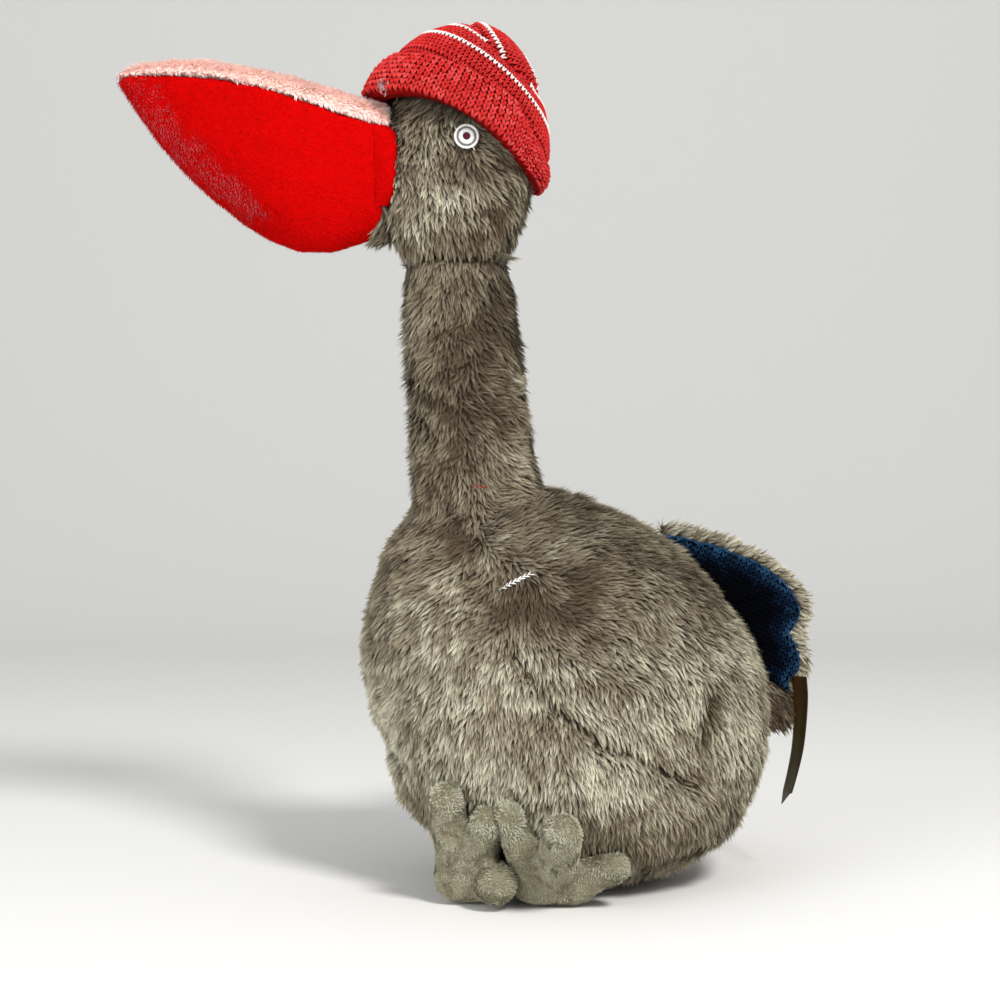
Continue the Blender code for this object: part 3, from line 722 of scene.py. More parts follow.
def dressBody():
    mesh = bodySkin.data
    points, normals = readPoints(mesh)
    pulled, parted = np.zeros(len(points)), np.zeros(len(points))
    aside = np.zeros((len(points), 3))
    for pixels, depth in bodyCreases:
        gap, away = nearLine(points, traced(bodyTree, *pixels))
        pulled += depth * bell(gap, bodyLook["creaseWidth"])
        parted = np.maximum(parted, depth * bell(gap, bodyLook["partedWidth"]))
        aside += away / 0.004 * (depth * bell(gap, bodyLook["asideWidth"]))[:, None]
    level = points[:, 2]
    soft = bumps(points, 0.034, 1) * 0.0014 + bumps(points, 0.013, 2) * 0.0010
    soft += bumps(points, 0.0062, 3) * 0.00045
    collar = fade(level, bodyLook["collarFrom"], 0.010)
    moved = fade(level, 0.001, 0.02) * (soft - bodyLook["creaseDepth"] * pulled)
    writePoints(mesh, points + normals * (moved - 0.0008 * collar)[:, None])

    toCamera = normals @ -np.array(intoView)
    neck = fade(level, bodyLook["neckFrom"], 0.02)
    down = np.array((0.0, 0.0, -1.0))
    backwards = np.array((0.0, 0.7, -0.2)) * np.clip(0.4 - toCamera, 0, 1)[:, None]
    way = down * 0.35 + backwards * (1 - neck)[:, None]
    way = evened(way + (brushed(points, bodyTree, bodyStrokes, 0.017) + aside * 0.5))
    way += swirl(points, 0.024, 7) * (0.40 + 0.35 * neck)[:, None]
    way += swirl(points, 0.0075, 8) * (0.50 + 0.40 * neck)[:, None]
    way += down * 2.0 * collar[:, None]

    floor = fade(level, 0.0004, 0.006)
    fine = bumps(points, 0.0060, 12)
    # darker up the chest and neck: partly the pile's own tone and partly painted shade under the
    # head and pouch
    tone = 0.72 - 0.26 * fade(level, 0.080, 0.05) - 0.20 * neck
    tone -= 0.22 * fade(level, 0.052, -0.02)
    tone += shaded(points, bodyTree, bodyTones)
    # the pile is darker where it parts along the creases: painted shade in the creases
    tone += 0.26 * bumps(points, 0.030, 11) + 0.40 * fine - 0.35 * parted
    pile = (0.95 + 0.30 * fine) * (1 - 0.5 * parted)
    groom(
        mesh,
        normals,
        way,
        tone,
        pile=pile * np.clip(floor, 0.35, 1) * (1 - 0.3 * collar),
        thick=(0.3 + 0.7 * floor) * (1 - 0.85 * parted),
        rise=(1.0 + 0.8 * bumps(points, 0.009, 10) + 0.2 * neck) * (1 - 0.6 * collar),
    )


dressBody()
bodyFur = []
for index, word in enumerate(("Base", "Belly", "Chest", "Neck")):
    low, high = bodyLook["zones"][index : index + 2]
    bodyFur.append(
        growPile(f"bodyFur{word}", bodySkin, furTuft, taupePile, bodyLook, 20 + index, low, high)
    )
print("body done")


# Head

headLook = {
    "voxel": 0.0016,
    "smoothing": 4,
    "shrink": 0.0016,
    "gap": 0.00112,
    "length": 0.0058,
    "lift": 24,
    "stray": 16,
    "vary": 0.38,
    "turn": radians(54),
    "neckTop": Vector((-0.0153, -0.0650, 0.260)),
    "eyeBack": 0.0070,
    "eyeLevel": 0.0456,
    "eyeOut": 0.0265,
    "clipped": 0.0058,
    "hemFrom": 0.272,
    # where the picture shows the seam between head and pouch, and the cheek that hides its end
    "seam": ((391, 126), (397, 136), (398.5, 150), (398, 165), (394, 190), (390, 206)),
    "cheek": ((387, 208), (381, 217), (371, 234)),
}
headStrokes = (
    (403, 150, 0.1, 1.0),
    (400, 200, -0.5, 0.9),
    (398, 225, -0.6, 0.8),
    (415, 115, -0.5, 0.6),
    (440, 108, -0.6, 0.5),
    (428, 160, -0.2, 1.0),
    (431, 200, -0.3, 1.0),
    (415, 240, -0.2, 1.0),
    (464, 183, 0.1, 1.0),
    (495, 150, 1.0, 0.3),
    (512, 190, 0.6, 0.8),
    (484, 218, 0.2, 1.0),
    (507, 240, 0.3, 1.0),
    (455, 230, -0.1, 1.0),
)
headTones = (
    (412, 113, 0.007, -0.34),
    (440, 118, 0.007, -0.22),
    (469, 168, 0.006, -0.38),
    (450, 160, 0.005, -0.20),
    (428, 160, 0.003, 0.45),
    (431, 215, 0.011, 0.36),
    (455, 200, 0.006, 0.22),
    (484, 220, 0.0022, 0.85),
    (497, 212, 0.005, -0.40),
    # this row darkens the crease where the head meets the neck: painted shade
    (388, 252, 0.0050, -0.30),
    (402, 259, 0.0028, -0.50),
    (416, 259, 0.0028, -0.50),
    (430, 257, 0.0028, -0.50),
    (446, 253, 0.0026, -0.45),
    (462, 247, 0.0026, -0.35),
    (451, 120, 0.0018, 0.9),
)

headPlace = Matrix.Translation(headLook["neckTop"]) @ Matrix.Rotation(
    -pi / 2 - headLook["turn"], 4, "Z"
)
forward = np.array(headPlace.to_3x3() @ Vector((1, 0, 0)))
headSkin = stuffedSkin("headSkin", "head", taupeSkin, headLook)
headTree = treeOf(headSkin.data)

hatLook = {
    "tilt": radians(28),
    "roll": radians(5),
    "forward": 0.0010,
    "level": 0.0467,
    "radius": 0.0392,
    "narrowing": 0.92,
    "height": 0.0505,
    "pointForward": 0.006,
    "fullness": 1.75,
    "cuffHeight": 0.0195,
    "cuffStep": 0.0026,
    "sideLift": 0.0075,
    "stitchWide": 0.00235,
    "stitchTall": 0.00215,
    "yarn": 0.195,
    "cuffStitches": 84,
    "cuffRows": 8,
    "backDrop": 0.0095,
    "puff": 0.0016,
    "foldDepth": 0.0019,
    "foldLine": ((485, 42), (543, 101)),
    "flopLean": radians(64),
    "flopAway": 0.22,
    # the middle that the crown's rounds are laid about, and their usual radius
    "heart": (0.003, 0, 0.010),
    "meanRadius": 0.0385,
    # where the picture shows the white rounds, below the fold and above it
    "whiteBelow": ((512, 80), (476, 37)),
    "whiteAbove": ((528, 67), (495, 41)),
}
hatPlace = (
    headPlace
    @ Matrix.Translation((hatLook["forward"], 0, hatLook["level"]))
    @ Matrix.Rotation(-hatLook["tilt"], 4, "Y")
    @ Matrix.Rotation(hatLook["roll"], 4, "X")
)


seamLine = inFrame(headPlace, np.array(traced(headTree, *headLook["seam"])))[::-1]


def pastSeam(points):
    # how far each point lies in front of the pouch's seam, between the seam's two ends
    x, _, z = inFrame(headPlace, points).T
    beside = (z > seamLine[0, 2]) & (z < seamLine[-1, 2])
    return np.where(beside, x - np.interp(z, seamLine[:, 2], seamLine[:, 0]), -1.0)


def dressHead():
    mesh = headSkin.data
    points, normals = readPoints(mesh)
    ahead = pastSeam(points)
    billGap, off = np.full(len(points), 1.0), np.zeros((len(points), 3))
    for nodeName in ("bill_top", "bill_pouch"):
        tree = treeOf(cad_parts[nodeName].data)
        for i, point in enumerate(points):
            spot, _, _, gap = tree.find_nearest(Vector(point))
            if gap < billGap[i]:
                billGap[i], off[i] = gap, point - np.array(spot)
    besideBill = bell(billGap, 0.0045)
    local = inFrame(headPlace, points)
    way = np.array((0.0, 0.0, -0.6)) - forward * 0.35
    way = evened(way + brushed(points, headTree, headStrokes, 0.010))
    away = off / np.maximum(billGap, 1e-5)[:, None]
    upper = fade(local[:, 2], 0.030, 0.012)
    way += (away - forward * 0.6) * (1.3 * besideBill * upper)[:, None]
    way += swirl(points, 0.014, 31) * 0.45 + swirl(points, 0.0065, 32) * 0.45
    hem = fade(points[:, 2], headLook["hemFrom"], -0.010)
    way += np.array((0.0, 0.0, -1.6)) * hem[:, None]
    bare = np.zeros(len(points))
    for side in (1, -1):  # the pile is clipped round the eyes
        eye = (-headLook["eyeBack"], side * headLook["eyeOut"], headLook["eyeLevel"])
        bare = np.maximum(bare, bell(apart(local, eye), headLook["clipped"], 4))
    x, y, z = inFrame(hatPlace, points).T
    ring = np.hypot(x, y / hatLook["narrowing"])
    lift = hatLook["sideLift"] * (y / np.maximum(ring, 1e-6)) ** 2
    covered = fade(z - lift, 0.002, 0.002)
    fine = bumps(points, 0.0060, 36)
    edge = bell(ahead + 0.0006, 0.0014)
    short = (1 - 0.5 * besideBill * upper) * (1 - 0.4 * edge)
    tone = 0.40 + 0.30 * bumps(points, 0.018, 35) + 0.40 * fine
    tone += shaded(points, headTree, headTones) + 0.25 * besideBill + 0.35 * edge
    groom(
        mesh,
        normals,
        way,
        tone,
        pile=(0.95 + 0.3 * fine) * (1 - 0.72 * bare) * short * (1 + 0.25 * hem),
        thick=(1 - 0.97 * covered) * np.clip(1 - ahead / 0.0004, 0, 1),
        rise=(1.0 + 0.8 * bumps(points, 0.008, 34)) * (1 - 0.5 * bare) * (1 - 0.5 * hem),
    )


dressHead()
headFur = growPile("headFur", headSkin, furTuft, taupePile, headLook, 41)
print("head done")


# Bill: short velour over soft filling

billLook = {
    "forward": 0.024,
    "height": 0.052,
    "pitch": radians(11.8),
    "length": 0.1205,
    "seamArch": 0.0062,
    "pouchDepth": 0.0585,
    "pouchDeepest": 0.033,
    "groove": (388, 165),
    "stripRows": 26,
    "stripColumns": 8,
}
pouchLook = {
    "voxel": 0.0017,
    "smoothing": 4,
    "shrink": 0.0003,
    "gap": 0.00072,
    "length": 0.0012,
    "lift": 26,
    "stray": 20,
    "vary": 0.08,
}
topLook = {
    "voxel": 0.0012,
    "smoothing": 3,
    "shrink": 0.0003,
    "gap": 0.00070,
    "length": 0.0026,
    "lift": 34,
    "stray": 24,
    "vary": 0.30,
}

redPile = pileMaterial(
    "redPile",
    ((0.440, 0.100, 0.115), (0.540, 0.003, 0.002), (0.610, 0.001, 0.001)),
    (0.500, 0.001, 0.001),
    0.40,
    0.0,
    0.02,
)
redSkin = skinMaterial("redSkin", (0.54, 0.001, 0.001), (0.47, 0.001, 0.001), 420, 0.0001, 0.02)
salmonPile = pileMaterial(
    "salmonPile",
    ((0.900, 0.580, 0.520), (0.950, 0.740, 0.680), (0.970, 0.850, 0.810)),
    (0.900, 0.600, 0.530),
    0.25,
    0.10,
)
salmonSkin = skinMaterial("salmonSkin", (0.92, 0.64, 0.57), (0.86, 0.54, 0.47), 420, 0.0002)
velourTuft = tuftMesh("velourTuft", 3, 0.24, 0.8, 0.28, 5)

billPlace = (
    headPlace
    @ Matrix.Translation((billLook["forward"], 0, billLook["height"]))
    @ Matrix.Rotation(-billLook["pitch"], 4, "Y")
)


def pouchFloor(run):
    # the level of the pouch's lower edge, along the bill
    share = np.clip(run / billLook["length"], 0, 1)
    seam = billLook["seamArch"] * np.sin(pi * share**1.5)
    hang = (run - billLook["pouchDeepest"]) / (billLook["length"] - billLook["pouchDeepest"])
    return seam - billLook["pouchDepth"] * (1 - np.clip(hang, 0, 1) ** 1.9)


def patchOf(mesh, wanted, lift):
    # a copy of the part of a skin whose points are wanted, a little above it
    points, normals = readPoints(mesh)
    spots = {int(i): None for i in np.flatnonzero(wanted)}
    bm = bmesh.new()
    for i in spots:
        spots[i] = bm.verts.new(points[i] + normals[i] * lift)
    for face in mesh.polygons:
        if all(i in spots for i in face.vertices):
            bm.faces.new([spots[i] for i in face.vertices])
    return bm


def overHead():
    # the edge of the head that the pouch's velour laps over
    tree = treeOf(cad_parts["bill_pouch"].data)
    points, _ = readPoints(headSkin.data)
    ahead = pastSeam(points) > -0.0004
    for i in np.flatnonzero(ahead):
        spot, normal, _, _ = tree.find_nearest(Vector(points[i]))
        ahead[i] = (Vector(points[i]) - spot).dot(normal) > -0.0015
    return ahead


def addSeamStrip(bm, pouch):
    # the velour bridges the groove between the pouch and the head, on both sides
    pouchTree = treeOf(pouch)
    groove = inFrame(headPlace, np.array(traced(headTree, billLook["groove"])))[0][0]
    last = billLook["stripColumns"] - 1
    for side in (1, -1):
        inward = headPlace.to_3x3() @ Vector((0, -side, 0))
        rows = []
        for z in np.linspace(seamLine[0, 2], seamLine[-1, 2], billLook["stripRows"]):
            ends = []
            back = max(groove - 0.0036, np.interp(z, seamLine[:, 2], seamLine[:, 0]) + 0.0002)
            for tree, x in ((pouchTree, groove + 0.0050), (headTree, back)):
                spot = tree.ray_cast(headPlace @ Vector((x, side * 0.06, z)), inward)[0]
                ends.append(headPlace.inverted() @ spot)
            row = []
            for k in range(last + 1):
                spot = ends[0].lerp(ends[1], k / last)
                spot.y += side * (0.0006 * sin(pi * k / last) + 0.0005)
                row.append(bm.verts.new(headPlace @ spot))
            rows.append(row)
        for low, high in zip(rows, rows[1:]):
            for k in range(last):
                bm.faces.new((low[k], low[k + 1], high[k + 1], high[k])[::side])


def growCheek(pouch):
    # the cheek's fur covers the pouch's lower back corner
    points, _ = readPoints(pouch)
    line = inFrame(headPlace, np.array(traced(treeOf(pouch), *headLook["cheek"])))[::-1]
    x, _, z = inFrame(headPlace, points).T
    onCheek = (z < line[-1, 2]) & (x < np.interp(z, line[:, 2], line[:, 0]))
    cheek = link("cheekSkin", meshOf("cheekSkin", patchOf(pouch, onCheek, 0.0002)), taupeSkin)
    spots, normals = readPoints(cheek.data)
    way = np.array((0, 0, -0.9)) + forward * 0.6 + swirl(spots, 0.006, 66) * 0.4
    tone = 0.52 + 0.35 * bumps(spots, 0.005, 69)
    groom(cheek.data, normals, way, tone, pile=1.1 + 0.3 * bumps(spots, 0.005, 68))
    return onCheek, cheek, growPile("cheekFur", cheek, furTuft, taupePile, headLook, 67)


def dressPouch():
    skin = stuffedSkin("pouchSkin", "bill_pouch", redSkin, pouchLook)
    mesh = skin.data
    onCheek, cheek, cheekFur = growCheek(mesh)
    hidden = [p for p, covered in zip(readPoints(mesh)[0], onCheek) if covered]
    bm = patchOf(headSkin.data, overHead(), 0.0006)
    addSeamStrip(bm, mesh)
    bm.from_mesh(mesh)
    bm.to_mesh(mesh)
    bm.free()
    mesh.shade_smooth()
    points, normals = readPoints(mesh)
    thick = np.ones(len(points))
    for spot in hidden:
        thick[apart(points, spot) < 0.0001] = 0
    run, _, level = inFrame(billPlace, points).T
    soft = bumps(points, 0.030, 51) * 0.0014 + bumps(points, 0.011, 52) * 0.0005
    writePoints(mesh, points + normals * (soft * fade(run, 0.006, 0.02))[:, None])
    way = np.array((0.0, 0.0, -0.8)) - forward * 0.7
    way = way + swirl(points, 0.018, 60) * 0.5 + swirl(points, 0.005, 61) * 0.35
    # the nap is rubbed and stands up in a band along the lower edge, which widens towards the tip;
    # its paler colour there is partly wear and partly a painted sheen
    above = level - pouchFloor(run)
    toTip = fade(run, 0.030, 0.085)
    band = bell(above - 0.009, 0.0060 + 0.008 * toTip) * np.clip(toTip * 4, 0, 1)
    band = np.maximum(band, fade(run, 0.098, 0.012) * fade(above, 0, 0.004))
    patchy = np.clip(band * (1.15 + 0.8 * bumps(points, 0.0045, 62)), 0, 1)
    tone, nap = 0.86 - 0.72 * patchy, 1.0 + 0.6 * patchy
    groom(mesh, normals, way, tone, pile=nap, thick=thick, rise=0.85 + 0.8 * patchy)
    pile = growPile("pouchPile", skin, velourTuft, redPile, pouchLook, 65)
    return skin, pile, cheek, cheekFur


def dressTop():
    skin = stuffedSkin("billTopSkin", "bill_top", salmonSkin, topLook)
    mesh = skin.data
    points, normals = readPoints(mesh)
    run, out, _ = inFrame(billPlace, points).T
    soft = bumps(points, 0.016, 71) * 0.0010
    writePoints(mesh, points + normals * (soft * fade(run, 0.006, 0.02))[:, None])
    side = np.sign(out)[:, None] * np.array(headPlace.to_3x3() @ Vector((0, 1, 0)))
    way = np.array((0.0, 0.0, -1.1)) + side * 0.5 - forward * 0.25
    way = way + swirl(points, 0.014, 72) * 0.6 + swirl(points, 0.005, 73) * 0.5
    tone = 0.66 - 0.25 * fade(run, 0.08, 0.04) + 0.35 * bumps(points, 0.008, 75)
    nap, rise = 0.9 + 0.35 * bumps(points, 0.007, 74), 1.0 + 0.4 * bumps(points, 0.006, 76)
    groom(mesh, normals, way, tone, pile=nap, rise=rise)
    return skin, growPile("billTopPile", skin, velourTuft, salmonPile, topLook, 77)


pouchSkin, pouchPile, cheekSkin, cheekFur = dressPouch()
topSkin, topPile = dressTop()
print("bill done")


# Knitted hat


def crownRadius(up):
    share = min(1.0, max(0.0, up / hatLook["height"]))
    return hatLook["radius"] * (1 - share ** hatLook["fullness"]) ** (1 / hatLook["fullness"])


def hatSpot(up, turn, out=0.0, lift=1.0):
    # a point of the hat: height on it, way round, distance out of its plain form
    ahead = hatLook["pointForward"] * eased(up, 0, hatLook["height"])
    radius = crownRadius(up) + out
    raised = up + hatLook["sideLift"] * lift * sin(turn) ** 2
    return Vector(
        (ahead + radius * cos(turn), hatLook["narrowing"] * radius * sin(turn), raised)
    )


def backDrop(turn):
    # the cuff's fold sits lower at the back of the head
    return hatLook["backDrop"] * eased(-cos(turn), 0.45, 1.0)


def cuffSpot(up, turn):
    # the turned-up cuff stands off the cap and rounds in at both edges
    share = min(1.0, max(0.0, up / hatLook["cuffHeight"]))
    step = hatLook["cuffStep"] * (0.25 + 0.85 * max(0.0, sin(pi * share)) ** 0.4)
    wave = 0.0005 * sin(3 * turn + 1.0) + 0.0004 * sin(7 * turn)
    return hatSpot(up - backDrop(turn) * share, turn, step + wave, 1 - 0.45 * share)


def crownLift(up):
    return 0.5 * (1 - eased(up, hatLook["cuffHeight"] * 0.8, hatLook["height"]))


# the slack top of the crown flops over along a plane that the picture shows as a line
foldFrom, foldTo = (sightLine(px, py) for px, py in hatLook["foldLine"])
foldNormal = foldFrom.cross(foldTo).normalized()
if foldNormal.dot(acrossView) < 0:
    foldNormal = -foldNormal


def pastFold(spot):
    return (spot - camera.location).dot(foldNormal)


def crownSpot(up, turn):
    cuffTop, height = hatLook["cuffHeight"], hatLook["height"]
    puff = hatLook["puff"] * eased(up, cuffTop, cuffTop + 0.004)
    fullAt = cuffTop + 0.006
    low = up - backDrop(turn) * max(0.0, height - up) / (height - cuffTop)
    past = pastFold(hatPlace @ hatSpot(low, turn, 0.0, crownLift(up)))
    fold = 0.8 * exp(-(((past - 0.0042) / 0.0034) ** 2)) - exp(-((past / 0.0013) ** 2))
    fold *= hatLook["foldDepth"] * eased(up, cuffTop, fullAt)
    out = puff * (1 - 0.6 * eased(up, 0.030, 0.046)) + fold - 0.0004
    return hatSpot(low, turn, out, crownLift(up))


def hatAxes(spotAt, up, turn):
    # a spot with its way out and its way up, from small steps either side
    higher = spotAt(up + 0.0004, turn) - spotAt(up - 0.0004, turn)
    aside = spotAt(up, turn + 0.01) - spotAt(up, turn - 0.01)
    turned = hatPlace.to_3x3()
    out = turned @ aside.cross(higher).normalized()
    return hatPlace @ spotAt(up, turn), out, turned @ higher.normalized(), aside.length / 0.02


def tube(bm, rings):
    sides = len(rings[0])
    for low, high in zip(rings, rings[1:]):
        for k in range(sides):
            after = (k + 1) % sides
            bm.faces.new((low[k], low[after], high[after], high[k]))
    bm.faces.new(rings[0][::-1])
    bm.faces.new(rings[-1])


def strandShape(name, bm, reach):
    # maps a yarn shape along its length, and across it
    bmesh.ops.recalc_face_normals(bm, faces=bm.faces)
    uv = bm.loops.layers.uv.new("strand")
    for face in bm.faces:
        for loop in face.loops:
            x, y, _ = loop.vert.co
            loop[uv].uv = (0.5 + 0.45 * y / reach, min(1.0, max(0.0, x + 0.5)))
    return bpy.data.objects.new(name, meshOf(name, bm))


def yarnTube(bm, rows, thick, side=1):
    # rows of y, x and z with a radius each
    rings = []
    for (y, x, z), wide in zip(rows, thick):
        turns = [pi / 2 * k for k in range(4)]
        ring = [(side * x + wide * cos(t), y, z + wide * sin(t)) for t in turns]
        rings.append([bm.verts.new(point) for point in ring])
    tube(bm, rings)


def stitchMesh(name, yarn):
    # a knit stitch: two bowed legs that meet at the foot
    rows = ((-0.62, 0.07, -0.22), (-0.28, 0.14, 0.10), (0.16, 0.27, 0.18), (0.62, 0.37, -0.20))
    bm = bmesh.new()
    for side in (-1, 1):
        yarnTube(bm, rows, [yarn * share for share in (0.62, 1.0, 1.0, 0.62)], side)
    return strandShape(name, bm, 0.60)


def threadMesh(name):
    # one straight stitch, bowed out of the cloth
    rows = ((-0.5, 0.0, -0.35), (-0.25, 0.0, 0.15), (0.25, 0.0, 0.15), (0.5, 0.0, -0.35))
    bm = bmesh.new()
    yarnTube(bm, rows, (0.275, 0.5, 0.5, 0.275))
    return strandShape(name, bm, 0.5)


def yarnMaterial(name, stops, sheen, tint, deep):
    # the shade of a strand picks its place on the ramp, and its ends are darker: painted shade where
    # the yarn dips under its neighbours
    material, maker, shader = newMaterial(name, 0.9, sheen, tint, 0.05)
    upStrand, shade = strandUv(maker)
    ends = maker.ease(maker.math("ABSOLUTE", upStrand - 0.5), 0.22, 0.5, 0.0, 0.60)
    colour = maker.add("ShaderNodeValToRGB", {"stops": stops}, {0: shade})
    dark = maker.mix(0.75, colour, deep)
    maker.put(shader.inputs["Base Color"], maker.mix(ends, colour, dark))
    place = maker.add("ShaderNodeTexCoord", out=3)
    bumped(maker, shader, maker.noise(place, 2600.0, 2.0, 0.7), 0.5, 0.00012)
    return material


redYarn = yarnMaterial(
    "redYarn",
    (
        (0.0, (0.30, 0.006, 0.006)),
        (0.28, (0.52, 0.022, 0.022)),
        (0.50, (0.66, 0.085, 0.080)),
        (0.60, (0.55, 0.40, 0.38)),
        (0.82, (0.72, 0.68, 0.65)),
        (1.0, (0.80, 0.78, 0.75)),
    ),
    0.22,
    (0.80, 0.22, 0.20),
    (0.20, 0.004, 0.004),
)
redLining = skinMaterial("redLining", (0.30, 0.003, 0.003), (0.17, 0.002, 0.002), 500, 0.0004, 0.05)
knitStitch = stitchMesh("knitStitch", hatLook["yarn"])


def hatShell():
    # the cloth behind the stitches: cuff, the step behind it, crown and inside
    count = 96
    turns = [2 * pi * i / count for i in range(count)]

    def behind(spotAt, up):
        return [spot - out * 0.0008 for spot, out, _, _ in (hatAxes(spotAt, up, t) for t in turns)]

    cuffTop, rise = hatLook["cuffHeight"], hatLook["height"] - hatLook["cuffHeight"]
    rings = [behind(cuffSpot, cuffTop * share) for share in (0, 0.12, 0.3, 0.5, 0.7, 0.88, 1)]
    for i in range(44):
        rings.append(behind(crownSpot, cuffTop + rise * sin(pi / 2 * 0.985 * i / 43)))
    for depth in (0.0008, 0.0036):
        peak = Vector((hatLook["pointForward"], 0, hatLook["height"] - depth))
        rings.append([hatPlace @ peak])
    for share in (0.92, 0.75, 0.5, 0.25, 0.0):
        up, thick = (hatLook["height"] - 0.003) * share, 0.0052 - 0.0022 * share
        rings.append([hatPlace @ hatSpot(up, t, -thick, 1 - share) for t in turns])
    bm = bmesh.new()
    laid = [[bm.verts.new(point) for point in ring] for ring in rings]
    for low, high in zip(laid, laid[1:] + laid[:1]):
        for i in range(count):
            after = (i + 1) % count
            if len(low) == len(high) == count:
                bm.faces.new((low[i], low[after], high[after], high[i]))
            elif len(high) == 1 and len(low) == count:
                bm.faces.new((low[i], low[after], high[0]))
            elif len(low) == 1 and len(high) == count:
                bm.faces.new((low[0], high[after], high[i]))
    bmesh.ops.recalc_face_normals(bm, faces=bm.faces)
    return link("hatShell", meshOf("hatShell", bm), redLining)


hatCloth = hatShell()
hatTree = treeOf(hatCloth.data)
hatHeart = hatPlace @ Vector(hatLook["heart"])


def cuffStitches(rng):
    height, count, rows = hatLook["cuffHeight"], hatLook["cuffStitches"], hatLook["cuffRows"]
    places = []
    for row in range(rows):
        for i in range(count):
            turn = 2 * pi * (i + 0.5) / count
            spot, out, way, radius = hatAxes(cuffSpot, height * (row + 0.45) / (rows - 0.1), turn)
            wide = 2 * pi * radius / count * rng.uniform(0.94, 1.06)
            tall = (height - backDrop(turn)) / (rows - 0.1) * rng.uniform(0.98, 1.12)
            spot += way * rng.uniform(-0.0002, 0.0002) + out * rng.uniform(-0.0002, 0.0003)
            places.append((spot, out, way, (wide, tall, wide), 0.20 + 0.22 * rng.random()))
    return places


def leanOf(axis, px, py):
    # how far above its equator a point of the picture lies on the crown
    ray = sightLine(px, py).normalized()
    spot = seen(hatTree, px, py)
    if spot is None:
        spot = camera.location + ray * (hatHeart - camera.location).dot(ray)
    return pi / 2 - acos((spot - hatHeart).normalized().dot(axis))


def crownStitches(rng, axis, start, whiteAt, wanted):
    # rounds about an axis through the middle of the crown, laid on the cloth
    tall, wide, mean = hatLook["stitchTall"], hatLook["stitchWide"], hatLook["meanRadius"]
    one = axis.cross(Vector((0.3, 0.9, 0.1))).normalized()
    other = axis.cross(one)
    # the first white round lies exactly where the picture shows it
    rounds = [(leanOf(axis, px, py) - start) * mean / tall for px, py in whiteAt]
    start += (rounds[0] - round(rounds[0])) * tall / mean
    white = {round(place) for place in rounds}
    places = []
    for row in range(int((pi / 2 - start) * mean / tall)):
        lean = start + row * tall / mean
        count = max(6, round(2 * pi * mean * cos(lean) / wide))
        for i in range(count):
            turn = 2 * pi * (i + 0.5) / count
            ray = axis * sin(lean) + (one * cos(turn) + other * sin(turn)) * cos(lean)
            spot, normal, _, _ = hatTree.ray_cast(hatHeart + ray * 0.08, -ray, 0.07)
            if spot is None or not wanted(spot):
                continue
            way = (axis - normal * axis.dot(normal)).normalized()
            across = 2 * pi * (spot - hatHeart).cross(axis).length / count
            shade, lift = 0.16 + 0.18 * rng.random(), 0.0008
            if row in white:
                shade, lift = 0.84 + 0.14 * rng.random(), 0.0011
            size = (across, tall * 1.04, across)
            places.append((spot + normal * lift, normal, way, size, shade))
    return places


def knitHat():
    rng = np.random.default_rng(5)
    axis = hatPlace.to_3x3() @ Vector((0, 0, 1)) + acrossView * 0.20 + intoView * 0.25
    axis.normalize()
    lean = hatLook["flopLean"]
    flopped = acrossView * sin(lean) + upward * cos(lean) + intoView * hatLook["flopAway"]
    flopped.normalize()

    def overCuff(spot):
        x, y, z = hatPlace.inverted() @ spot
        turn = atan2(y / hatLook["narrowing"], x - hatLook["heart"][0])
        lift = hatLook["sideLift"] * crownLift(z) * sin(turn) ** 2
        return z - lift > hatLook["cuffHeight"] - backDrop(turn) - 0.0004

    def below(spot):
        return overCuff(spot) and pastFold(spot) < 0.0004

    def above(spot):
        return overCuff(spot) and pastFold(spot) >= 0.0004

    places = cuffStitches(rng)
    places += crownStitches(rng, axis, 0.0, hatLook["whiteBelow"], below)
    places += crownStitches(rng, flopped, -0.1, hatLook["whiteAbove"], above)
    return sewOn("hatKnit", places, knitStitch, redYarn, 0.09)


hatKnit = knitHat()
print("hat done")


# Wings

wingLook = {
    "voxel": 0.0013,
    "smoothing": 3,
    "shrink": 0.0003,
    "gap": 0.00106,
    "length": 0.0054,
    "lift": 24,
    "stray": 15,
    "vary": 0.34,
    "root": Vector((-0.0044, -0.0160, 0.112)),
    "out": 0.030,
    "back": 0.041,
    "sweep": radians(40),
    "border": 0.0055,
    "lowest": -31,
    "highest": 92,
    "stitchWide": 0.00225,
    "stitchTall": 0.0021,
    "rows": radians(-30),
    "rowSpan": (-34, 34),
    "columnSpan": (-8, 42),
    "edgeStitches": 60,
    "edgeSize": (0.0014, 0.0026, 0.0014),
    "paintedShadeRun": 0.018,
}
# how far the flap reaches from its root, by the angle above level
wingReaches = (
    (-62, 0.050),
    (-48, 0.068),
    (-41, 0.075),
    (-35, 0.073),
    (-28, 0.066),
    (-22, 0.069),
    (-15, 0.0665),
    (-8, 0.060),
    (0, 0.0655),
    (11, 0.062),
    (21, 0.056),
    (41, 0.0455),
    (66, 0.040),
    (92, 0.040),
)


def wingFrame(side):
    spot = wingLook["root"] + Vector((side * wingLook["out"], wingLook["back"], 0))
    turn = Matrix.Rotation(wingLook["sweep"], 4, "Z")
    return Matrix.Translation(spot) @ Matrix.Scale(side, 4, (1, 0, 0)) @ turn


def liningReach(angle):
    angles, reaches = zip(*wingReaches)
    return float(np.interp(angle, angles, reaches)) - wingLook["border"]


# the lower stops are navy painted down to near black: painted shade deep in the flap
navyYarn = yarnMaterial(
    "navyYarn",
    (
        (0.0, (0.0003, 0.0004, 0.0010)),
        (0.45, (0.0010, 0.0020, 0.0055)),
        (0.70, (0.0040, 0.014, 0.038)),
        (1.0, (0.026, 0.090, 0.190)),
    ),
    0.0,
    (0.03, 0.09, 0.25),
    (0.0003, 0.0006, 0.0016),
)
# the navy backing is painted near black: painted shade deep in the flap
navySkin = skinMaterial("navySkin", (0.001, 0.002, 0.005), (0.0004, 0.001, 0.002), 500, 0.0004, 0.05)


